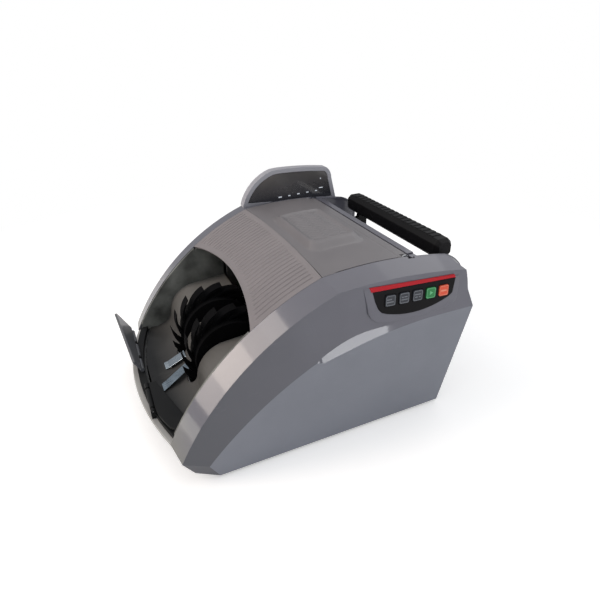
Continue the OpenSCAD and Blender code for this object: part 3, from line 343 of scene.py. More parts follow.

# Painted shade: the case turns darker towards the front.
case_grey_shaded_front = plastic("case_grey_shaded_front", painted_fade=("Y", -0.15, 0.05, srgb(72, 75, 82)), **CASE)
# Painted reflection: the front tip of the band is lighter and warmer.
case_band_painted_tip = plastic("case_band_painted_tip", painted_fade=("Y", -0.146, -0.116, srgb(122, 123, 111)), **CASE)
# The lower face is rougher, and painted lighter than the case for the light it catches.
case_matt_painted_lighter = plastic("case_matt_painted_lighter", srgb(127, 130, 139), rough=0.5, coat=0.25, coat_rough=0.3, tint=0.05,
                    dust=0.1)
# Painted light and shade: the lip is lighter than its own shadow allows, and painted dark along its inner
# edge.
lip_painted_light_and_shade = plastic("lip_painted_light_and_shade", srgb(168, 168, 166), rough=0.5, coat=0.2, coat_rough=0.25, tint=0.05,
                   dust=0.1, painted_fade=(LIP_CENTRE, LIP_RADIUS - 6.5 * MM, LIP_RADIUS - 5 * MM, srgb(30, 32, 34)))
arch_grey = plastic("arch_grey", srgb(133, 127, 129), rough=0.42, coat=0.35, coat_rough=0.22, tint=0.05)
lid_grey = plastic("lid_grey", srgb(117, 114, 117), rough=0.42, coat=0.4, coat_rough=0.2, tint=0.05)
display_grey = plastic("display_grey", srgb(166, 166, 173), rough=0.4, coat=0.3, coat_rough=0.2, tint=0.04)
# Painted shade: the pocket floor turns nearly black towards the front.
floor_grey_shaded_front = plastic("floor_grey_shaded_front", srgb(112, 110, 107), rough=0.42, coat=0.1, coat_rough=0.3, tint=0.1,
                     dust=0.05, painted_fade=("Y", -0.128, -0.068, srgb(13, 15, 18)), lustre=0.3)
cheek_dark = plastic("cheek_dark", srgb(114, 116, 112), rough=0.5, tint=0.6, dust=0.2, grain_depth=0.04,
                     patch=26.0, lustre=0.25)
sill_dark = plastic("sill_dark", dust=0.05, **DARK)
# Painted light and shade: the two flaps are of one plastic; the flat one is painted dark, the raised one
# lighter.
flap_painted_shade = plastic("flap_painted_shade", dust=0.04, **DARK)
flap_grey = plastic("flap_grey", srgb(92, 94, 99), rough=0.36, coat=0.6, coat_rough=0.1, tint=0.1)
black_satin = plastic("black_satin", srgb(9, 9, 12), rough=0.5, coat=0.03, coat_rough=0.3, tint=0.2,
                      wear=0.1, dust=0.02, grain_depth=0.04, lustre=0.16)
panel_black = plastic("panel_black", srgb(10, 9, 12), rough=0.35, coat=0.06, coat_rough=0.08, tint=0.1,
                      wear=0.1, dust=0.01, grain_depth=0.01, lustre=0.12)
fin_black = plastic("fin_black", srgb(8, 8, 10), rough=0.9, tint=0.3, wear=0.05, dust=0.0, scuffed=0.2,
                    lustre=0.08)
roller_rubber = rubber("roller_rubber", srgb(44, 43, 43))
foot_rubber = rubber("foot_rubber", srgb(36, 36, 37))
belt_rubber = rubber("belt_rubber", srgb(26, 26, 28))
separator_red = rubber("separator_red", srgb(132, 62, 48))
key_grey = plastic("key_grey", srgb(50, 53, 61), rough=0.45, grain_depth=0.01, tint=0.08)
key_green = plastic("key_green", srgb(34, 132, 68), tint=0.08, **KEY)
key_orange = plastic("key_orange", srgb(232, 84, 52), tint=0.06, **KEY)
stripe_red = plastic("stripe_red", srgb(190, 20, 36), rough=0.45, coat=0.1, coat_rough=0.12, lustre=0.2,
                     tint=0.05, grain_depth=0.01)
nylon = plastic("nylon", srgb(214, 210, 196), rough=0.5, tint=0.06, scuffed=0.3)
board_green = plastic("board_green", srgb(28, 84, 48), rough=0.35, coat=0.4, coat_rough=0.15, tint=0.18,
                      wear=0.1)
winding_tape = plastic("winding_tape", srgb(196, 150, 48), rough=0.4, tint=0.15)
sensor_black = plastic("sensor_black", srgb(30, 31, 35), rough=0.5, tint=0.15)
shaft_steel = metal("shaft_steel", (0.62, 0.62, 0.64, 1), rough=0.24)
plate_steel = metal("plate_steel", (0.52, 0.53, 0.55, 1), rough=0.38, stretch=(20.0, 1.5, 20.0))
strip_steel = metal("strip_steel", (0.62, 0.70, 0.76, 1), rough=0.18, stretch=(30.0, 1.0, 1.0), lines=0.06)
# Painted shade: the near guide strip is the same steel as the far one, painted darker and bluer for the dark
# it reflects.
strip_steel_shaded = metal("strip_steel_shaded", (0.33, 0.4, 0.46, 1), rough=0.26, stretch=(30.0, 1.0, 1.0), lines=0.06)
motor_steel = metal("motor_steel", (0.33, 0.33, 0.35, 1), rough=0.36)
bush_brass = metal("bush_brass", (0.72, 0.52, 0.26, 1), rough=0.3)
window_smoke_and_reflection = smoked_glass("window_smoke_and_reflection")
mark_white = glow("mark_white", srgb(226, 232, 240), 0.35)
mark_grey = plastic("mark_grey", srgb(128, 133, 140), **MARK)
mark_green = plastic("mark_green", srgb(110, 200, 140), **MARK)
mark_orange = plastic("mark_orange", srgb(246, 150, 120), **MARK)

FINISH = {
    case_grey_shaded_front: ["side_cover_right", "side_cover_left", "back_cover"],
    arch_grey: ["arch_cover"],
    lip_painted_light_and_shade: ["front_lip"],
    lid_grey: ["hopper_lid"],
    display_grey: ["display_housing"],
    floor_grey_shaded_front: ["pocket_liner"],
    cheek_dark: ["pocket_cheek_right", "pocket_cheek_left"],
    sill_dark: ["stop_sill", "note_stop", "hopper_tray"],
    flap_painted_shade: ["stop_flap_right"],
    flap_grey: ["stop_flap_left"],
    black_satin: ["handle_bar", "handle_arms", "power_inlet", "power_switch", "counter_disc"],
    panel_black: ["key_panel"],
    fin_black: ["stacker_wheel_right", "stacker_wheel_left"],
    roller_rubber: ["feed_rollers", "pickup_rollers", "exit_rollers"],
    foot_rubber: ["rubber_feet"],
    belt_rubber: ["drive_belts"],
    separator_red: ["retard_rollers"],
    key_grey: ["button_1", "button_2", "button_3"],
    key_green: ["start_button"],
    key_orange: ["reset_button"],
    nylon: ["stacker_pulley", "feed_pulleys", "motor_pulley"],
    board_green: ["display_board", "key_board", "main_board"],
    winding_tape: ["power_supply"],
    sensor_black: ["counter_sensor"],
    shaft_steel: ["lid_pins", "handle_pins", "flap_pins", "tie_bars", "stacker_shaft", "feed_shaft",
                  "pickup_shaft", "exit_shaft", "pinch_shaft", "case_screws"],
    plate_steel: ["base_plate", "frame_plate_right", "frame_plate_left"],
    strip_steel: ["guide_strip_left"],
    strip_steel_shaded: ["guide_strip_right"],
    motor_steel: ["drive_motor"],
    bush_brass: ["shaft_bushes"],
    window_smoke_and_reflection: ["display_window"],
}
WELD = 0.005         # points closer than this become one, in millimetres
USUAL_EDGE = 0.25    # radius of the rounded edges, in millimetres
EDGE = {"side_cover_right": 0.0, "side_cover_left": 0.0, "arch_cover": 0.0, "hopper_lid": 0.0,
        "handle_bar": 0.7, "display_housing": 0.5, "power_inlet": 0.3}
TURNED = ["pocket_liner", "stacker_wheel_right", "stacker_wheel_left", "feed_rollers", "pickup_rollers",
          "exit_rollers", "retard_rollers", "feed_pulleys", "stacker_pulley", "motor_pulley", "drive_motor",
          "stacker_shaft", "feed_shaft", "pickup_shaft", "exit_shaft", "pinch_shaft", "tie_bars",
          "rubber_feet", "front_lip", "stop_sill", "pocket_cheek_right", "pocket_cheek_left", "shaft_bushes",
          "lid_pins", "handle_pins", "flap_pins", "drive_belts", "counter_disc", "handle_arms"]


def dress_solid(name, material):
    """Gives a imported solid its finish, welded, with smooth round faces or small rounded edges."""
    solid = nodes[name]
    solid.data.materials.clear()
    solid.data.materials.append(material)
    weld = solid.modifiers.new("weld", "WELD")
    weld.merge_threshold = WELD * MM
    if name in TURNED:
        solid.data.shade_smooth()
        split = solid.modifiers.new("hard_edges", "EDGE_SPLIT")
        split.split_angle = radians(26)
        return
    radius = EDGE.get(name, USUAL_EDGE)
    if radius:
        bevel = solid.modifiers.new("edges", "BEVEL")
        bevel.width = radius * MM
        bevel.segments = 2
        bevel.limit_method = "ANGLE"
        bevel.angle_limit = radians(32)
        bevel.use_clamp_overlap = True


for material, names in FINISH.items():
    for name in names:
        dress_solid(name, material)


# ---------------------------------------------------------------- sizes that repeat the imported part's
MID_Y = 146.788      # from the datum behind the front lip to the frame's origin
FOOT_H = 3.0
HALF_W = 125.0
INNER_X = 100.0
COVER_X = 99.7
EDGE_X = 121.0
WALL = 2.5
ARCH_R = 260.0
TIP = (12.0, 28.3)
CREASE = (156.0, 154.0)
BAND_SHIFT = (5.0, -6.0)         # from the band's inner edge to its outer edge, at the front arch
BAND_TOP = (9.0, -9.3)           # the same at the back end of the top
BAND_REAR = (-7.0, -13.0)        # the same at the rear corner
BAND_POINTS = (56, 28, 20)
TOP_RISE = 5.0
TOP_BACK = (282.0, 150.3)
BACK_Y = 303.0
CORNER_Z = 134.0
WAIST_Z = 103.0
WAIST_ARC = (281.0, -209.0, 330.0)
CHIN = (26.0, 8.4)
BASE_Y = (46.0, 274.0)
HINGE_Y = 241.0
BARREL_R = 4.6
EAR_X = 93.5


def put(x, y, z):
    """A point of the machine, in millimetres from its datum, as a place in the frame."""
    return Vector((x, y - MID_Y, z + FOOT_H)) * MM


def bow(a, b, rise, steps):
    """Points of a circular arc from a to b that rises to the left of the way."""
    way = (b[0] - a[0], b[1] - a[1])
    length = hypot(*way)
    along = (way[0] / length, way[1] / length)
    left = (-along[1], along[0])
    radius = (length ** 2 / 4 + rise ** 2) / (2 * abs(rise))
    side = copysign(1, rise)
    half = asin(min(1, length / 2 / radius))
    points = []
    for i in range(steps + 1):
        turn = -half + 2 * half * i / steps
        forth = radius * sin(turn)
        up = rise - side * radius + side * radius * cos(turn)
        points.append(((a[0] + b[0]) / 2 + along[0] * forth + left[0] * up,
                       (a[1] + b[1]) / 2 + along[1] * forth + left[1] * up))
    return points


def arch_centre():
    """Centre of the arched front, from its two ends and its radius."""
    way = (CREASE[0] - TIP[0], CREASE[1] - TIP[1])
    length = hypot(*way)
    reach = sqrt(ARCH_R ** 2 - length ** 2 / 4) / length
    return ((TIP[0] + CREASE[0]) / 2 + way[1] * reach, (TIP[1] + CREASE[1]) / 2 - way[0] * reach)


ARCH_C = arch_centre()


def arch_height(centre, y):
    return centre[1] + sqrt(ARCH_R ** 2 - (y - centre[0]) ** 2)


def arch_points(centre, y0, y1, steps):
    first, last = (acos((y - centre[0]) / ARCH_R) for y in (y0, y1))
    turns = [first + (last - first) * i / steps for i in range(steps + 1)]
    return [(centre[0] + ARCH_R * cos(t), centre[1] + ARCH_R * sin(t)) for t in turns]


def band_edge(k, fall=1.0):
    """Edge of the band along a side: k is 0 at its inner edge and 1 at its outer edge.

    fall is the share of its full slope that the front arch keeps.
    """
    shift = (k * fall * BAND_SHIFT[0], k * fall * BAND_SHIFT[1])
    centre = (ARCH_C[0] + shift[0], ARCH_C[1] + shift[1])
    y0 = CREASE[0] + shift[0]
    top = (TOP_BACK[0] + BAND_TOP[0] * k, TOP_BACK[1] + BAND_TOP[1] * k)
    corner = (BACK_Y + BAND_REAR[0] * k, CORNER_Z + BAND_REAR[1] * k)
    return (arch_points(centre, TIP[0] + shift[0], y0, BAND_POINTS[0])
            + bow((y0, arch_height(centre, y0)), top, TOP_RISE - 0.7 * k, BAND_POINTS[1])[1:]
            + bow(top, corner, 2.5 - 2 * k, BAND_POINTS[2])[1:])


TOP_LINE = bow(CREASE, TOP_BACK, TOP_RISE, 60)      # the middle of the top, seen from the side


def between(value, table):
    """Straight-line look-up in a table of (place, value) pairs."""
    if value <= table[0][0]:
        return table[0][1]
    for (a, low), (b, high) in zip(table, table[1:]):
        if value <= b:
            return low + (high - low) * (value - a) / (b - a)
    return table[-1][1]


def top_z(y):
    return between(y, TOP_LINE)


HINGE_Z = top_z(HINGE_Y) - BARREL_R


def smooth_step(value, low, high):
    t = max(0.0, min(1.0, (value - low) / (high - low)))
    return t * t * (3 - 2 * t)


def spaced(points, count):
    """The same path as a number of points at even distances."""
    lengths = [0.0]
    for a, b in zip(points, points[1:]):
        lengths.append(lengths[-1] + dist(a, b))
    out = []
    for i in range(count):
        at = lengths[-1] * i / (count - 1)
        out.append(tuple(between(at, list(zip(lengths, [p[axis] for p in points]))) for axis in (0, 1)))
    return out


# ---------------------------------------------------------------- helpers: meshes
DOUBLES = 0.001      # points of a form closer than this become one, in millimetres


def crease_by_angle(mesh, degrees):
    """Smooth faces with a hard edge wherever two faces meet at more than the angle."""
    work = bmesh.new()
    work.from_mesh(mesh)
    for face in work.faces:
        face.smooth = True
    for edge in work.edges:
        edge.smooth = len(edge.link_faces) == 2 and edge.calc_face_angle(0) < radians(degrees)
    work.to_mesh(mesh)
    work.free()


def new_object(name, data):
    thing = bpy.data.objects.new(name, data)
    bpy.context.collection.objects.link(thing)
    return thing


def built(name, form):
    """A mesh object from a form, with its doubles merged and its faces turned outwards."""
    mesh = bpy.data.meshes.new(name)
    work = bmesh.new()
    corners = [work.verts.new(p) for p in form.points]
    for face in form.faces:
        work.faces.new([corners[i] for i in face])
    bmesh.ops.remove_doubles(work, verts=work.verts, dist=DOUBLES * MM)
    bmesh.ops.recalc_face_normals(work, faces=work.faces)
    work.to_mesh(mesh)
    work.free()
    return new_object(name, mesh)


def make_piece(name, form, material, body="root", stands_for=(), angle=30, wall=0.0):
    """A piece from a form, with its finish, its body and the nodes it replaces."""
    piece = built(name, form)
    if wall:
        thicken(piece, wall)
    finish_piece(piece, material, body, stands_for, angle)
    return piece


def finish_piece(piece, material, body, stands_for=(), angle=30):
    """Settles a piece: hard edges, material, body and the nodes it stands for."""
    if angle:
        crease_by_angle(piece.data, angle)
    piece.data.materials.clear()
    piece.data.materials.append(material)
    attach(piece, body)
    if stands_for:
        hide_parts(*stands_for)


def baked(piece):
    """The piece with its modifiers turned into plain mesh."""
    solid = bpy.data.meshes.new_from_object(piece.evaluated_get(bpy.context.evaluated_depsgraph_get()))
    piece.modifiers.clear()
    piece.data = solid
    return piece


def thicken(piece, wall):
    """Gives a sheet a wall, in millimetres, on its inner side."""
    thick = piece.modifiers.new("wall", "SOLIDIFY")
    thick.thickness = wall * MM
    thick.offset = -1
    baked(piece)


def grown(piece, tree, values):
    """Runs a geometry tree on a piece with the given values and keeps the result as plain mesh."""
    shape = piece.modifiers.new("shape", "NODES")
    shape.node_group = tree
    for socket in tree.interface.items_tree:
        if socket.in_out == "INPUT" and socket.name in values:
            shape[socket.identifier] = values[socket.name]
    return baked(piece)


def close_tree(net, shaped, finish, out):
    """Ends a geometry tree: real mesh, with its finish."""
    real = net.add("GeometryNodeRealizeInstances", {0: shaped})
    dressed = net.add("GeometryNodeSetMaterial", {"Geometry": real.outputs[0], "Material": finish})
    net.feed(dressed.outputs[0], out["Geometry"])


def cut(piece, cutters):
    """Takes boxes, given by two corners in the frame, out of a closed piece."""
    for low, high in cutters:
        tool = new_object("cutter", box_mesh(low, high))
        change = piece.modifiers.new("cut", "BOOLEAN")
        change.object = tool
        change.operation = "DIFFERENCE"
        change.solver = "EXACT"
        baked(piece)
        bpy.data.objects.remove(tool)


def box_points(low, high):
    return [Vector((x, y, z))
            for x in (low[0], high[0]) for y in (low[1], high[1]) for z in (low[2], high[2])]


def circle(radius, count):
    turns = [2 * pi * i / count for i in range(count)]
    return [(radius * cos(t), radius * sin(t)) for t in turns]


def span(side, near, far):
    """The two x of something between two distances on one side, the lower one first."""
    return sorted((side * near, side * far))


BOX_FACES = [(0, 1, 3, 2), (4, 6, 7, 5), (0, 4, 5, 1), (2, 3, 7, 6), (0, 2, 6, 4), (1, 5, 7, 3)]


def box_mesh(low, high):
    mesh = bpy.data.meshes.new("box")
    mesh.from_pydata([tuple(p) for p in box_points(low, high)], [], BOX_FACES)
    return mesh


class Form:
    """Gathers points and faces of one piece."""

    def __init__(self):
        self.points = []
        self.faces = []

    def add(self, points, faces):
        start = len(self.points)
        self.points += points
        self.faces += [tuple(start + i for i in face) for face in faces]

    def box(self, low, high):
        self.add(box_points(low, high), BOX_FACES)

    def slab(self, outline, place, low, high):
        """A plate with the given outline; place(u, v, w) gives the point, w runs from low to high."""
        n = len(outline)
        points = [place(u, v, w) for w in (low, high) for u, v in outline]
        sides = [(i, (i + 1) % n, n + (i + 1) % n, n + i) for i in range(n)]
        self.add(points, sides + [tuple(range(n))[::-1], tuple(range(n, 2 * n))])

    def grid(self, rows):
        """A surface through rows of points, all of one length."""
        wide = len(rows[0])
        self.add([p for row in rows for p in row],
                 [(r * wide + i, r * wide + i + 1, (r + 1) * wide + i + 1, (r + 1) * wide + i)
                  for r in range(len(rows) - 1) for i in range(wide - 1)])


# ---------------------------------------------------------------- side covers
LEDGE_START = (138.0, 147.0)    # where the step at the waist starts and is full
LEDGE_TILT = (0.4, 0.3)         # slope of the step, and how much of it is lost along the rear part
LEDGE_FADE = (197.0, 225.0)     # where that slope is lost
WAIST_AT = [38 + 4 * i for i in range(67)]
NOTCH = ((-1.0, 1.0), (6.0, 18.0))      # clears the hinge: two corners, from its axis
LEDGE_LOWER = [(130, 80), (140, 84), (149.6, 87.8), (169.3, 92.3), (186.9, 96.3), (202, 99),
               (223.6, 101.7), (250.9, 103.4), (280, 103.2), (302, 103)]
UPRIGHT = 0.9998                # the lower face's normal points at least this far to the side
LOWER_FACE = 0.002              # the least area of that face, in square metres
BAND_LEAN = (0.1, 0.7)          # how far the band's normals point to the side, from and to
BAND_UP = 0.2                   # and how far up, at least
WAIST_REAR = [(140, 89.4), (150, 93.9), (160, 97.9), (170, 101.2), (180, 103.5), (190, 104.8),
              (205, 105.7), (223, 105.9), (250, 105.3), (280, 104), (302, 103)]


def flowing(y, table):
    """Height at y of a smooth line through the points of a table."""
    last = len(table) - 1
    i = max([0] + [k for k in range(last) if table[k][0] <= y])

    def slope(a, b):
        return (table[b][1] - table[a][1]) / (table[b][0] - table[a][0])

    (a, low), (b, high) = table[i], table[i + 1]
    t = min(1.0, max(0.0, (y - a) / (b - a)))
    before, after = slope(max(i - 1, 0), i + 1), slope(i, min(i + 2, last))
    return (low + (high - low) * t * t * (3 - 2 * t)
            + (b - a) * t * (1 - t) * ((1 - t) * before - t * after))


def waist_z(y):
    """Height of the crease along the side."""
    if y > WAIST_REAR[1][0]:
        return flowing(y, WAIST_REAR)
    return WAIST_ARC[1] + sqrt(WAIST_ARC[2] ** 2 - (y - WAIST_ARC[0]) ** 2)


def side_cover(name, node, side, fall):
    """One side: flat band, leaning cheek, step at the waist and flat lower face."""
    inner = [put(side * INNER_X, *p) for p in band_edge(0)]
    outer_line = band_edge(1, fall)
    outer = [put(side * EDGE_X, *p) for p in outer_line]
    waist_line = spaced([(y, waist_z(y)) for y in WAIST_AT], len(outer))
    upper, lower = [], []
    for y, z in waist_line:
        tilt = LEDGE_TILT[0] - LEDGE_TILT[1] * smooth_step(y, *LEDGE_FADE)
        low = z - max(0.0, z - flowing(y, LEDGE_LOWER)) * smooth_step(y, *LEDGE_START)
        upper.append(put(side * (HALF_W - tilt * (z - low)), y, z))
        lower.append(put(side * HALF_W, y, low - 0.05))
    base_out = [put(side * HALF_W, y, 0) for y in BASE_Y]
    base_in = [put(side * INNER_X, y, 0) for y in BASE_Y]
    chin_out, chin_in = put(side * EDGE_X, *CHIN), put(side * INNER_X, *CHIN)
    heel_in = put(side * INNER_X, BACK_Y - 1, WAIST_Z - 1)
    form = Form()
    form.grid([inner, outer])
    form.grid([outer, upper])
    form.grid([upper, lower])
    n = len(lower)
    form.add(lower + [base_out[1], base_out[0]], [tuple(range(n + 2))])
    form.add([outer[0], chin_out, upper[0], lower[0], base_out[0]], [(0, 1, 3, 2), (1, 4, 3)])
    form.add([inner[0], outer[0], chin_out, chin_in], [(0, 1, 2), (0, 2, 3)])
    form.add([chin_in, chin_out, base_out[0], base_in[0]], [(0, 1, 2, 3)])
    form.add([base_in[0], base_out[0], base_out[1], base_in[1]], [(0, 1, 2, 3)])
    form.add([base_in[1], base_out[1], lower[-1], heel_in], [(0, 1, 2, 3)])
    form.add([heel_in, lower[-1], upper[-1], outer[-1], inner[-1]], [(0, 1, 2), (0, 2, 3), (0, 3, 4)])
    piece = make_piece(name, form, case_grey_shaded_front, stands_for=(node,), angle=0, wall=WALL)
    x = span(side, INNER_X - 1, INNER_X + WALL + 0.1)
    cutters = [tuple(put(x[i], HINGE_Y + NOTCH[i][0], HINGE_Z + NOTCH[i][1]) for i in (0, 1))]
    if side > 0:
        cutters += key_openings()
    cut(piece, cutters)
    crease_by_angle(piece.data, 3.2)
    # The lower face takes the rougher finish that is painted lighter, the band the finish with the painted
    # reflection at its tip.
    for finish in (case_matt_painted_lighter, case_band_painted_tip):
        piece.data.materials.append(finish)
    for face in piece.data.polygons:
        outward = face.normal.x * side
        if outward > UPRIGHT and face.area > LOWER_FACE:
            face.material_index = 1
        elif BAND_LEAN[0] < outward < BAND_LEAN[1] and face.normal.z > BAND_UP:
            face.material_index = 2


# ---------------------------------------------------------------- key panel
CHEEK_TURN = atan(4 / (TOP_BACK[1] - 4 - WAIST_Z))
STRIPE = [(188.9, 43.6), (276.6, 37.3), (278.2, 34.15), (190.6, 39.25)]
PANEL_PROUD = 0.8        # how far the key panel stands out from the cheek
KEY_TOP = 1.8            # the same for a key
KEY_AT = (209.0, 28.0)   # middle of the first key on the cheek
KEY_PITCH = 14.0
KEY_TURN = radians(-3.4)
KEY_HOLE = 5.6 * MM      # half the opening behind a key
KEY_REACH = (6 * MM, 4 * MM)     # how far it goes inwards and outwards


def on_cheek(u, v, w):
    """Place on the leaning cheek: u along the machine, v up the cheek, w out of it."""
    c, s = cos(CHEEK_TURN), sin(CHEEK_TURN)
    return put(HALF_W + w * c - v * s, u, WAIST_Z + w * s + v * c)


def on_key(index):
    """Placer for points on one key: its own u and v from its middle."""
    c, s = cos(KEY_TURN), sin(KEY_TURN)
    middle = (KEY_AT[0] + index * KEY_PITCH * c, KEY_AT[1] + index * KEY_PITCH * s)
    return lambda u, v, w: on_cheek(middle[0] + u * c - v * s, middle[1] + u * s + v * c, w)


def key_openings():
    """Boxes that clear the wall round each of the five keys."""
    boxes = []
    for index in range(5):
        x, y, z = on_key(index)(0, 0, 0)
        boxes.append(((x - KEY_REACH[0], y - KEY_HOLE, z - KEY_HOLE),
                      (x + KEY_REACH[1], y + KEY_HOLE, z + KEY_HOLE)))
    return boxes


def rounded_outline(half_u, half_v, radius, steps=6):
    points = []
    for corner in range(4):
        cu = (half_u - radius) * (1 if corner in (0, 3) else -1)
        cv = (half_v - radius) * (1 if corner in (0, 1) else -1)
        for i in range(steps + 1):
            turn = radians(90 * corner + 90 * i / steps)
            points.append((cu + radius * cos(turn), cv + radius * sin(turn)))
    return points


def soft_plate(form, outline, place, low, high, rounding):
    """A plate whose upper edge is rounded over."""
    rows = []
    centre = (sum(u for u, _ in outline) / len(outline), sum(v for _, v in outline) / len(outline))
    size = max(dist(p, centre) for p in outline)
    for turn in (None, 0, 30, 60, 90):
        w = low if turn is None else high - rounding * (1 - sin(radians(turn)))
        inset = 0 if turn is None else rounding * (1 - cos(radians(turn)))
        keep = 1 - inset / size
        ring = [place(centre[0] + (u - centre[0]) * keep, centre[1] + (v - centre[1]) * keep, w)
                for u, v in outline]
        rows.append(ring + [ring[0]])
    form.grid(rows)
    n = len(outline)
    form.add(rows[0][:-1], [tuple(range(n))[::-1]])
    form.add(rows[-1][:-1], [tuple(range(n))])


def panel_surround():
    """Slightly raised field of the cheek in which the key panel sits."""
    outline = ([(183.4, 43.6), (184.6, 38), (186.2, 31)]
               + bow((187.4, 25), (206, 8.2), -5.6, 12)
               + bow((208, 7.5), (272, 7.4), -2.4, 14)
               + bow((275, 8.2), (281.5, 17), -2.6, 8)
               + [(282.6, 26), (281.9, 35.2)])
    form = Form()
    soft_plate(form, outline, on_cheek, -2.4, 0.25, 0.5)
    surround = make_piece("panel_surround", form, case_grey_shaded_front, angle=0)
    cut(surround, key_openings())
    crease_by_angle(surround.data, 24)


def panel_stripe():
    """Red strip along the upper edge of the key panel."""
    form = Form()
    soft_plate(form, STRIPE, on_cheek, -0.6, PANEL_PROUD, 0.25)
    make_piece("panel_stripe", form, stripe_red, angle=24)


def key_marks():
    """Pale rim and a plain mark on each key: bars, or a triangle on the start key."""
    low, high = KEY_TOP - 0.05, KEY_TOP + 0.08
    bars = {0: [(-1.6, 1.1, 2.6, 0.45), (-0.4, -1.3, 3.4, 0.45)],
            1: [(-1.8, 1.1, 1.1, 0.45), (1.3, 1.1, 1.6, 0.45), (0, -1.3, 3.2, 0.45)],
            2: [(-0.3, 1.1, 3.0, 0.45), (-1.4, -1.3, 1.4, 0.45), (1.9, -1.3, 0.9, 0.45)],
            4: [(0, 0, 3.0, 0.8)]}
    bodies = ["key_1", "key_2", "key_3", "start_key", "reset_key"]
    rims = [mark_grey, mark_grey, mark_grey, mark_green, mark_orange]
    outside, inside = rounded_outline(4.55, 4.55, 1.3), rounded_outline(4.0, 4.0, 1.0)
    n = len(outside)
    for index, body in enumerate(bodies):
        place = on_key(index)
        form = Form()
        ring = [place(u, v, w) for w in (low, high) for line in (outside, inside) for u, v in line]
        form.add(ring, [(a, (i + 1) % n + (a - i), (i + 1) % n + (b - i), b)
                        for i in range(n)
                        for a, b in ((i, 2 * n + i), (2 * n + i, 3 * n + i), (3 * n + i, n + i), (n + i, i))])
        for u, v, half_u, half_v in bars.get(index, []):
            form.slab([(u - half_u, v - half_v), (u + half_u, v - half_v), (u + half_u, v + half_v),
                       (u - half_u, v + half_v)], place, low, high)
        if index == 3:
            form.slab([(-1.3, -1.9), (2.1, 0), (-1.3, 1.9)], place, low, high)
        make_piece(body + "_marks", form, rims[index], body=body)


# ---------------------------------------------------------------- hopper lid
PAD_MID = (1.0, 197.5)
PAD_TOP = (42.0, 24.5)       # half sizes of the pad's top
PAD_SLOPE = (14.0, 5.0)      # width of its slopes
PAD_H = 5.0
PAD_CORNER = 7.0
PAD_RIM = (0.7, 1.4, 1.1)    # height, distance in from the pad's edge, width
PAD_FIELD = (-5.2, -3.4)     # where the sunken field is full and where it ends
FIELD_SINK = 0.8
WEAVE = (0.8, 1.6, 0.42, 4.2, 0.28)     # slant, swing, turn, pitch and depth of the woven lines
JOINT_BOW = 4.0              # how far the front edge of the lid bows back in the middle
LID_T = 2.6
LID_ROWS = 92
LID_NARROW = (0.9, 169.0, 170.5)        # how much narrower behind the step, and where it lies
LID_GROOVE = (0.35, 232.2, 0.7)         # depth, place and width
GUIDE_X, GUIDE_Y = (89.0, 91.5), (184.0, 224.0)
BARREL_TURN = 1.22           # of half a turn
CELL = 0.85


def joint_y(x, distance, rise):
    """Distance of a bowed edge across the machine."""
    radius = (INNER_X ** 2 + rise ** 2) / (2 * rise)
    return distance + rise - radius + sqrt(radius ** 2 - x ** 2)


def pad_height(x, y):
    """Raised pad with soft sides, a rim round its top and a woven field inside."""
    out_x, out_y = (max(abs(p - PAD_MID[i]) - (PAD_TOP[i] - PAD_CORNER), 0) for i, p in enumerate((x, y)))
    edge = hypot(out_x, out_y) - PAD_CORNER
    turn = atan2(out_y, out_x) if out_x or out_y else 0
    width = PAD_SLOPE[0] * cos(turn) ** 2 + PAD_SLOPE[1] * sin(turn) ** 2
    height = PAD_H * (1 - smooth_step(edge, -1.5, width))
    height += PAD_RIM[0] * exp(-((edge + PAD_RIM[1]) / PAD_RIM[2]) ** 2)
    field = 1 - smooth_step(edge, *PAD_FIELD)
    slant, swing, twist, pitch, depth = WEAVE
    wave = sin((x * slant + swing * sin(y * twist)) * 2 * pi / pitch)
    return height - field * (FIELD_SINK - depth * wave)


def hopper_lid():
    """Crowned lid with its pad, the hinge barrel and the two guides below."""
    flat_y = HINGE_Y - BARREL_R - 0.8
    across = int(2 * COVER_X / CELL)
    rows = []
    for j in range(LID_ROWS + 1):
        row = []
        for i in range(across + 1):
            x = -COVER_X + 2 * COVER_X * i / across
            front = joint_y(x, CREASE[0], JOINT_BOW) + 0.6
            y = front + (flat_y - front) * j / LID_ROWS
            inset = LID_NARROW[0] * smooth_step(y, *LID_NARROW[1:])
            reach = x * (COVER_X - inset) / COVER_X
            z = top_z(max(y, CREASE[0])) + pad_height(x, y)
            z -= LID_GROOVE[0] * exp(-((y - LID_GROOVE[1]) / LID_GROOVE[2]) ** 2)
            row.append(put(reach, y, z))
        rows.append(row)
    form = Form()
    form.grid(rows)
    plate = make_piece("lid_plate", form, lid_grey, body="lid", stands_for=("hopper_lid",), angle=0,
                       wall=LID_T)
    crease_by_angle(plate.data, 50)
    section = [(flat_y - 0.3, top_z(flat_y)), (HINGE_Y, HINGE_Z + BARREL_R)]
    section += [(HINGE_Y + BARREL_R * sin(t), HINGE_Z + BARREL_R * cos(t))
                for t in [pi * i / 14 * BARREL_TURN for i in range(1, 15)]]
    section += [(flat_y - 0.3, top_z(flat_y) - LID_T)]
    form = Form()
    form.slab(section, lambda u, v, w: put(w, u, v), -EAR_X, EAR_X)
    for side in (-1, 1):
        x = span(side, *GUIDE_X)
        form.box(put(x[0], GUIDE_Y[0], top_z(200) - 7), put(x[1], GUIDE_Y[1], top_z(200) - 2))
    make_piece("lid_barrel", form, lid_grey, body="lid", angle=24)


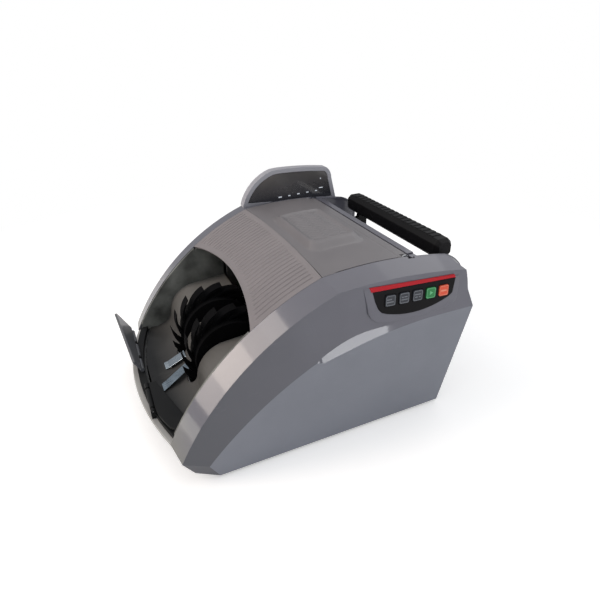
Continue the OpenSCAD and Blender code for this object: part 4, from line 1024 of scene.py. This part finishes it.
# ---------------------------------------------------------------- ribbed front cover
def ribbed_cover():
    """Arched cover whose ribs run from its curved front edge to the joint with the lid."""
    sizes = {"Half Width": COVER_X, "Front Distance": 91.0, "Front Bow": 15.0,
             "Joint Distance": CREASE[0], "Joint Bow": JOINT_BOW, "Arch Radius": ARCH_R,
             "Centre Distance": ARCH_C[0], "Centre Height": ARCH_C[1],
             "Rib Pitch": 6.0, "Groove Width": 2.0, "Groove Depth": 0.75, "Border": 4.5,
             "Datum Distance": MID_Y, "Foot Height": FOOT_H}
    inputs = {label: ("Float", value) for label, value in sizes.items()}
    net, given, out = named_tree("ribbed_arch", {**inputs, "Finish": ("Material", None)},
                                 {"Geometry": "Geometry"}, "Geometry")
    plus, minus, times = net.plus, net.minus, net.times
    sheet = net.add("GeometryNodeMeshGrid", {
        "Size X": 1.0, "Size Y": 1.0, "Vertices X": 401, "Vertices Y": 72})
    spot = net.add("ShaderNodeSeparateXYZ", {0: net.add("GeometryNodeInputPosition").outputs[0]}).outputs
    across = times(spot[0], 2.0)
    x = times(across, given["Half Width"])
    fall = minus(1.0, times(across, across))
    front = plus(given["Front Distance"], times(given["Front Bow"], fall))
    joint = plus(given["Joint Distance"], times(given["Joint Bow"], fall))
    y = plus(front, times(minus(joint, front), plus(spot[1], 0.5)))
    from_centre = minus(y, given["Centre Distance"])
    radius = given["Arch Radius"]
    rise = net.math("SQRT", minus(times(radius, radius), times(from_centre, from_centre)))
    phase = net.math("FRACT", net.math("DIVIDE", x, given["Rib Pitch"]))
    off = times(net.math("ABSOLUTE", minus(phase, 0.5)), given["Rib Pitch"])
    half_groove = net.math("DIVIDE", given["Groove Width"], 2.0)
    groove = net.ramp(off, minus(half_groove, 0.25), plus(half_groove, 0.35), 1.0, 0.0)
    border = given["Border"]
    inside_x = minus(minus(given["Half Width"], border), net.math("ABSOLUTE", x))
    inside_y = net.math("MINIMUM", minus(minus(y, front), border), minus(minus(joint, y), border))
    inside = net.ramp(net.math("MINIMUM", inside_x, inside_y), 0.0, 1.2)
    sink = times(times(groove, inside), given["Groove Depth"])
    share = minus(1.0, net.math("DIVIDE", sink, radius))
    place_y = minus(plus(given["Centre Distance"], times(from_centre, share)), given["Datum Distance"])
    place_z = plus(plus(given["Centre Height"], times(rise, share)), given["Foot Height"])
    point = net.add("ShaderNodeCombineXYZ", {0: x, 1: place_y, 2: place_z}).outputs[0]
    metres = net.add("ShaderNodeVectorMath", {0: point, 1: (MM, MM, MM)}, operation="MULTIPLY").outputs[0]
    shaped = net.add("GeometryNodeSetPosition", {"Geometry": sheet.outputs["Mesh"], "Position": metres})
    close_tree(net, shaped.outputs[0], given["Finish"], out)
    piece = new_object("arch_ribs", bpy.data.meshes.new("arch_ribs"))
    grown(piece, net.tree, {**sizes, "Finish": arch_grey})
    thicken(piece, WALL)
    finish_piece(piece, arch_grey, "root", ("arch_cover",), angle=18)


# ---------------------------------------------------------------- display
WINDOW_X = -107.55


def display_marks():
    """Plain white dashes in the window, and one small square."""
    form = Form()
    for y, z, length, height in [(203, 159.2, 4.4, 1.3), (215, 159.4, 2.8, 1.2), (227, 160, 3.4, 1.3),
                                 (239, 160.3, 3.0, 1.2), (251, 160.7, 2.4, 1.1), (257.5, 163.6, 5.0, 1.0),
                                 (257, 175, 1.2, 1.6)]:
        form.box(put(WINDOW_X - 0.1, y - length / 2, z - height / 2),
                 put(WINDOW_X + 0.12, y + length / 2, z + height / 2))
    make_piece("display_marks", form, mark_white)


# ---------------------------------------------------------------- stop flaps
FLAP_T = 2.4
FLAP_ROUND = 0.5
FLAP_BARREL_R = 2.2
PIN_R = 1.0
FLAP_PIN = (5.2, 35.6)
FLAP_X = 18.0
FLAP_LEAN = radians(29)
LUGS = [(7.7, 12.3), (37.7, 42.3)]


def stop_flap(name, node, body, material, outline, place, barrels):
    """A thin flap with rounded edges and the barrels that hold its pin."""
    form = Form()
    soft_plate(form, outline, place, -FLAP_T / 2, FLAP_T / 2, FLAP_ROUND)
    for low, high in barrels:
        form.slab(circle(FLAP_BARREL_R, 20), lambda v, w, u: place(u, v, w), low, high)
    make_piece(name, form, material, body=body,
               stands_for=(node,), angle=24)


def stop_flaps():
    """The raised flap on the display side and the one that lies flat on the key panel side."""
    s, c = sin(FLAP_LEAN), cos(FLAP_LEAN)
    # The raised flap takes the lighter painted copy of the flap plastic and the flat one the dark painted
    # copy.
    stop_flap("stop_flap_raised", "stop_flap_left", "left_flap", flap_grey,
              [(-11, 2.4), (74, 2.4), (76, 24), (74.6, 28), (70, 27.2), (-11, 13.6)],
              lambda u, v, w: put(-FLAP_X - u, FLAP_PIN[0] - s * v + c * w, FLAP_PIN[1] + c * v + s * w),
              [(-11, LUGS[0][0]), (LUGS[0][1], LUGS[1][0]), (LUGS[1][1], 68)])
    stop_flap("stop_flap_flat", "stop_flap_right", "right_flap", flap_painted_shade,
              [(0, 2.4), (44, 2.4), (57, 5.4), (70, 10), (75.4, 14), (76, 24), (74, 28), (70, 27), (0, 9)],
              lambda u, v, w: put(FLAP_X + u, FLAP_PIN[0] + v, FLAP_PIN[1] + w),
              [(0, LUGS[0][0]), (LUGS[0][1], LUGS[1][0])])


# ---------------------------------------------------------------- back of the case
BACK_TURN = atan((BACK_Y - 0.4 - BASE_Y[1]) / WAIST_Z)
CAP_X, CAP_Y = (91.2, 99.4), (6.1, 12.3)    # the caps lie behind the hinge's axis


def on_back(u, v, w):
    """Place on the sloping back panel: u to the side, v up the panel, w out of it."""
    s, c = sin(BACK_TURN), cos(BACK_TURN)
    return put(u, BASE_Y[1] + v * s + w * c, v * c - w * s)


def hinge_end_caps():
    """Small blocks that close the rim behind the lid at its two ends."""
    form = Form()
    for side in (-1, 1):
        x = span(side, *CAP_X)
        form.box(put(x[0], HINGE_Y + CAP_Y[0], HINGE_Z - 4), put(x[1], HINGE_Y + CAP_Y[1], HINGE_Z + 1.6))
    make_piece("hinge_end_caps", form, case_grey_shaded_front)


def flap_pin_rods():
    """Pins of the two flaps, each as long as its barrels."""
    form = Form()
    for low, high in ((FLAP_X + 1, FLAP_X + 43), (-FLAP_X - 67, -FLAP_X + 10)):
        form.slab(circle(PIN_R, 16), lambda v, w, u: put(u, FLAP_PIN[0] + v, FLAP_PIN[1] + w), low, high)
    make_piece("flap_pin_rods", form, shaft_steel, stands_for=("flap_pins",), angle=24)


def recess_walls():
    """Inner walls of the side covers beside the recess for the handle."""
    form = Form()
    line = [(y, z - 0.4) for y, z in band_edge(0) if y > HINGE_Y + 6]
    outline = ([(HINGE_Y + 6, WAIST_Z + 2)] + line
               + [(BACK_Y - 1.2, CORNER_Z - 2), (BACK_Y - 1.6, WAIST_Z + 2)])
    for side in (-1, 1):
        form.slab(outline, lambda u, v, w: put(w, u, v), *span(side, INNER_X + 0.1, INNER_X + 1.3))
    make_piece("recess_walls", form, case_grey_shaded_front, angle=24)


HEAD = [(3.0, -0.4), (3.0, 0.5), (2.75, 0.95), (2.2, 1.25), (1.2, 1.45), (0.3, 1.5)]
HEAD_SIDES = 28
CROSS = ((1.6, 0.32), (0.32, 1.6))      # half sizes of the two arms of the recess


def head_pattern():
    """One pan head with a cross recess, standing on the origin and facing up."""
    turns = [2 * pi * i / HEAD_SIDES for i in range(HEAD_SIDES + 1)]
    rings = [[Vector((r * cos(t), r * sin(t), h)) * MM for t in turns] for r, h in HEAD]
    form = Form()
    form.grid(rings)
    for ring in (rings[0], rings[-1]):
        form.add(ring[:-1], [tuple(range(HEAD_SIDES))])
    head = built("head_pattern", form)
    cut(head, [(Vector((-u, -v, 0.5)) * MM, Vector((u, v, 2)) * MM) for u, v in CROSS])
    crease_by_angle(head.data, 35)
    return head


def fastener_tree():
    """Geometry tree that sets a pattern on every point, turned one way, as real mesh."""
    inputs = {"Geometry": "Geometry", "Pattern": "Object", "Turn": "Vector", "Scale": "Float",
              "Finish": "Material"}
    net, given, out = named_tree("fasteners", {label: (sort, None) for label, sort in inputs.items()},
                                 {"Geometry": "Geometry"}, "Geometry")
    pattern = net.add("GeometryNodeObjectInfo", {"Object": given["Pattern"]})
    laid = net.add("GeometryNodeInstanceOnPoints", {
        "Points": given["Geometry"], "Instance": pattern.outputs["Geometry"],
        "Rotation": given["Turn"], "Scale": given["Scale"]})
    close_tree(net, laid.outputs[0], given["Finish"], out)
    return net.tree


def fasteners():
    """Screws of the back panel and of the base."""
    tree, head = fastener_tree(), head_pattern()
    sets = {"back_screws": ([on_back(u, v, 0.0) for u in (-91, 91) for v in (9, 94)],
                            (radians(-90) - BACK_TURN, 0.0, 0.0)),
            "base_screws": ([put(x, y, 0.0) for x in (-106, 106) for y in (84, 236)], (pi, 0.0, 0.0))}
    for name, (places, turn) in sets.items():
        mesh = bpy.data.meshes.new(name)
        mesh.from_pydata([tuple(p) for p in places], [], [])
        piece = new_object(name, mesh)
        grown(piece, tree, {"Pattern": head, "Turn": turn, "Scale": 1.0, "Finish": shaft_steel})
        finish_piece(piece, shaft_steel, "root", angle=35)
    bpy.data.objects.remove(head)


stop_flaps()
flap_pin_rods()
hinge_end_caps()
recess_walls()
fasteners()
side_cover("side_skin_right", "side_cover_right", 1, 1.0)
side_cover("side_skin_left", "side_cover_left", -1, 0.34)
panel_surround()
panel_stripe()
key_marks()
hopper_lid()
ribbed_cover()
display_marks()


# ---------------------------------------------------------------- stage
def floor_and_backdrop():
    """Pale floor that takes the shadow; the camera sees it and the world as white."""
    bpy.ops.mesh.primitive_plane_add(size=12, location=(0, 0, 0))
    plane = bpy.context.object
    plane.name = "studio_floor"
    material, net, shader, end = new_material("studio_floor")
    shader.inputs["Base Color"].default_value = (0.88, 0.88, 0.88, 1)
    shader.inputs["Roughness"].default_value = 0.9
    lit = net.add("ShaderNodeEmission", {"Color": (1, 1, 1, 1), "Strength": 0.4})
    both = net.add("ShaderNodeAddShader", {0: shader.outputs[0], 1: lit.outputs[0]})
    white = net.add("ShaderNodeEmission", {"Color": (1, 1, 1, 1), "Strength": 1.0})
    away = net.add("ShaderNodeVectorMath", {0: net.here()}, operation="LENGTH")
    near = net.add("ShaderNodeMixShader", {
        0: net.ramp(away.outputs["Value"], 0.35, 0.75), 1: both.outputs[0], 2: white.outputs[0]})
    seen = net.add("ShaderNodeLightPath")
    chosen = net.add("ShaderNodeMixShader", {
        0: seen.outputs["Is Camera Ray"], 1: shader.outputs[0], 2: near.outputs[0]})
    net.feed(chosen.outputs[0], end.inputs["Surface"])
    plane.data.materials.append(material)


def studio_world():
    world = bpy.data.worlds.new("studio")
    bpy.context.scene.world = world
    world.use_nodes = True
    world.node_tree.nodes.clear()
    net = Net(world.node_tree)
    path = net.add("ShaderNodeLightPath")
    soft = net.add("ShaderNodeBackground", {"Color": (0.93, 0.95, 1.0, 1), "Strength": 0.32})
    white = net.add("ShaderNodeBackground", {"Color": (1, 1, 1, 1), "Strength": 1.0})
    chosen = net.add("ShaderNodeMixShader", {
        0: path.outputs["Is Camera Ray"], 1: soft.outputs[0], 2: white.outputs[0]})
    net.add("ShaderNodeOutputWorld", {"Surface": chosen.outputs[0]})


def soft_light(name, place, aim, size, power, colour=(1, 1, 1)):
    data = bpy.data.lights.new(name, "AREA")
    data.shape = "RECTANGLE"
    data.size, data.size_y = size
    data.energy = power
    data.color = colour
    lamp = new_object(name, data)
    lamp.location = place
    lamp.rotation_euler = (Vector(aim) - Vector(place)).to_track_quat("-Z", "Y").to_euler()


def place_camera():
    """Camera on the key panel's side, a little above, with the front to the left."""
    right = Vector((0.40797, 0.91265, -0.02501))
    up = Vector((-0.43663, 0.21909, 0.87256))
    back = Vector((0.80182, -0.34506, 0.48788))
    data = bpy.data.cameras.new("camera")
    data.lens = 28.54
    data.sensor_width = 36
    data.clip_start = 0.01
    camera = new_object("camera", data)
    turn = Matrix((right, up, back)).transposed().to_4x4()
    camera.matrix_world = Matrix.Translation((0.41545, -0.14679, 0.333)) @ turn
    bpy.context.scene.camera = camera


floor_and_backdrop()
studio_world()
FRONT_BAND = (0.111, -0.066, 0.103)      # what the two window lights look at
soft_light("window_light", (-0.40, -1.468, 1.11), FRONT_BAND, (0.55, 1.66), 12.5, (1.0, 0.89, 0.81))
soft_light("window_core", (-0.36, -1.35, 0.91), FRONT_BAND, (0.42, 0.5), 2.4, (1.0, 0.87, 0.76))
soft_light("low_card", (-0.23, -1.3, 0.075), (0.111, -0.12, 0.05), (1.0, 0.14), 1.0, (1.0, 0.97, 0.86))
soft_light("top_light", (-0.2, 0.1, 1.9), (0, 0, 0.1), (3.2, 3.2), 20, (1.0, 0.99, 0.97))
soft_light("strip_light", (1.573, 0.418, 0.18), (0.124, 0.03, 0.09), (0.75, 0.34), 5.0, (0.97, 0.98, 1.0))
soft_light("side_light", (1.7, -0.2, 0.9), (0, 0, 0.08), (1.6, 1.0), 1.6, (0.93, 0.96, 1.0))
soft_light("back_light", (-0.5, 1.7, 1.2), (0, 0, 0.12), (2.4, 1.8), 7)
place_camera()
bpy.context.scene.view_settings.view_transform = "Standard"
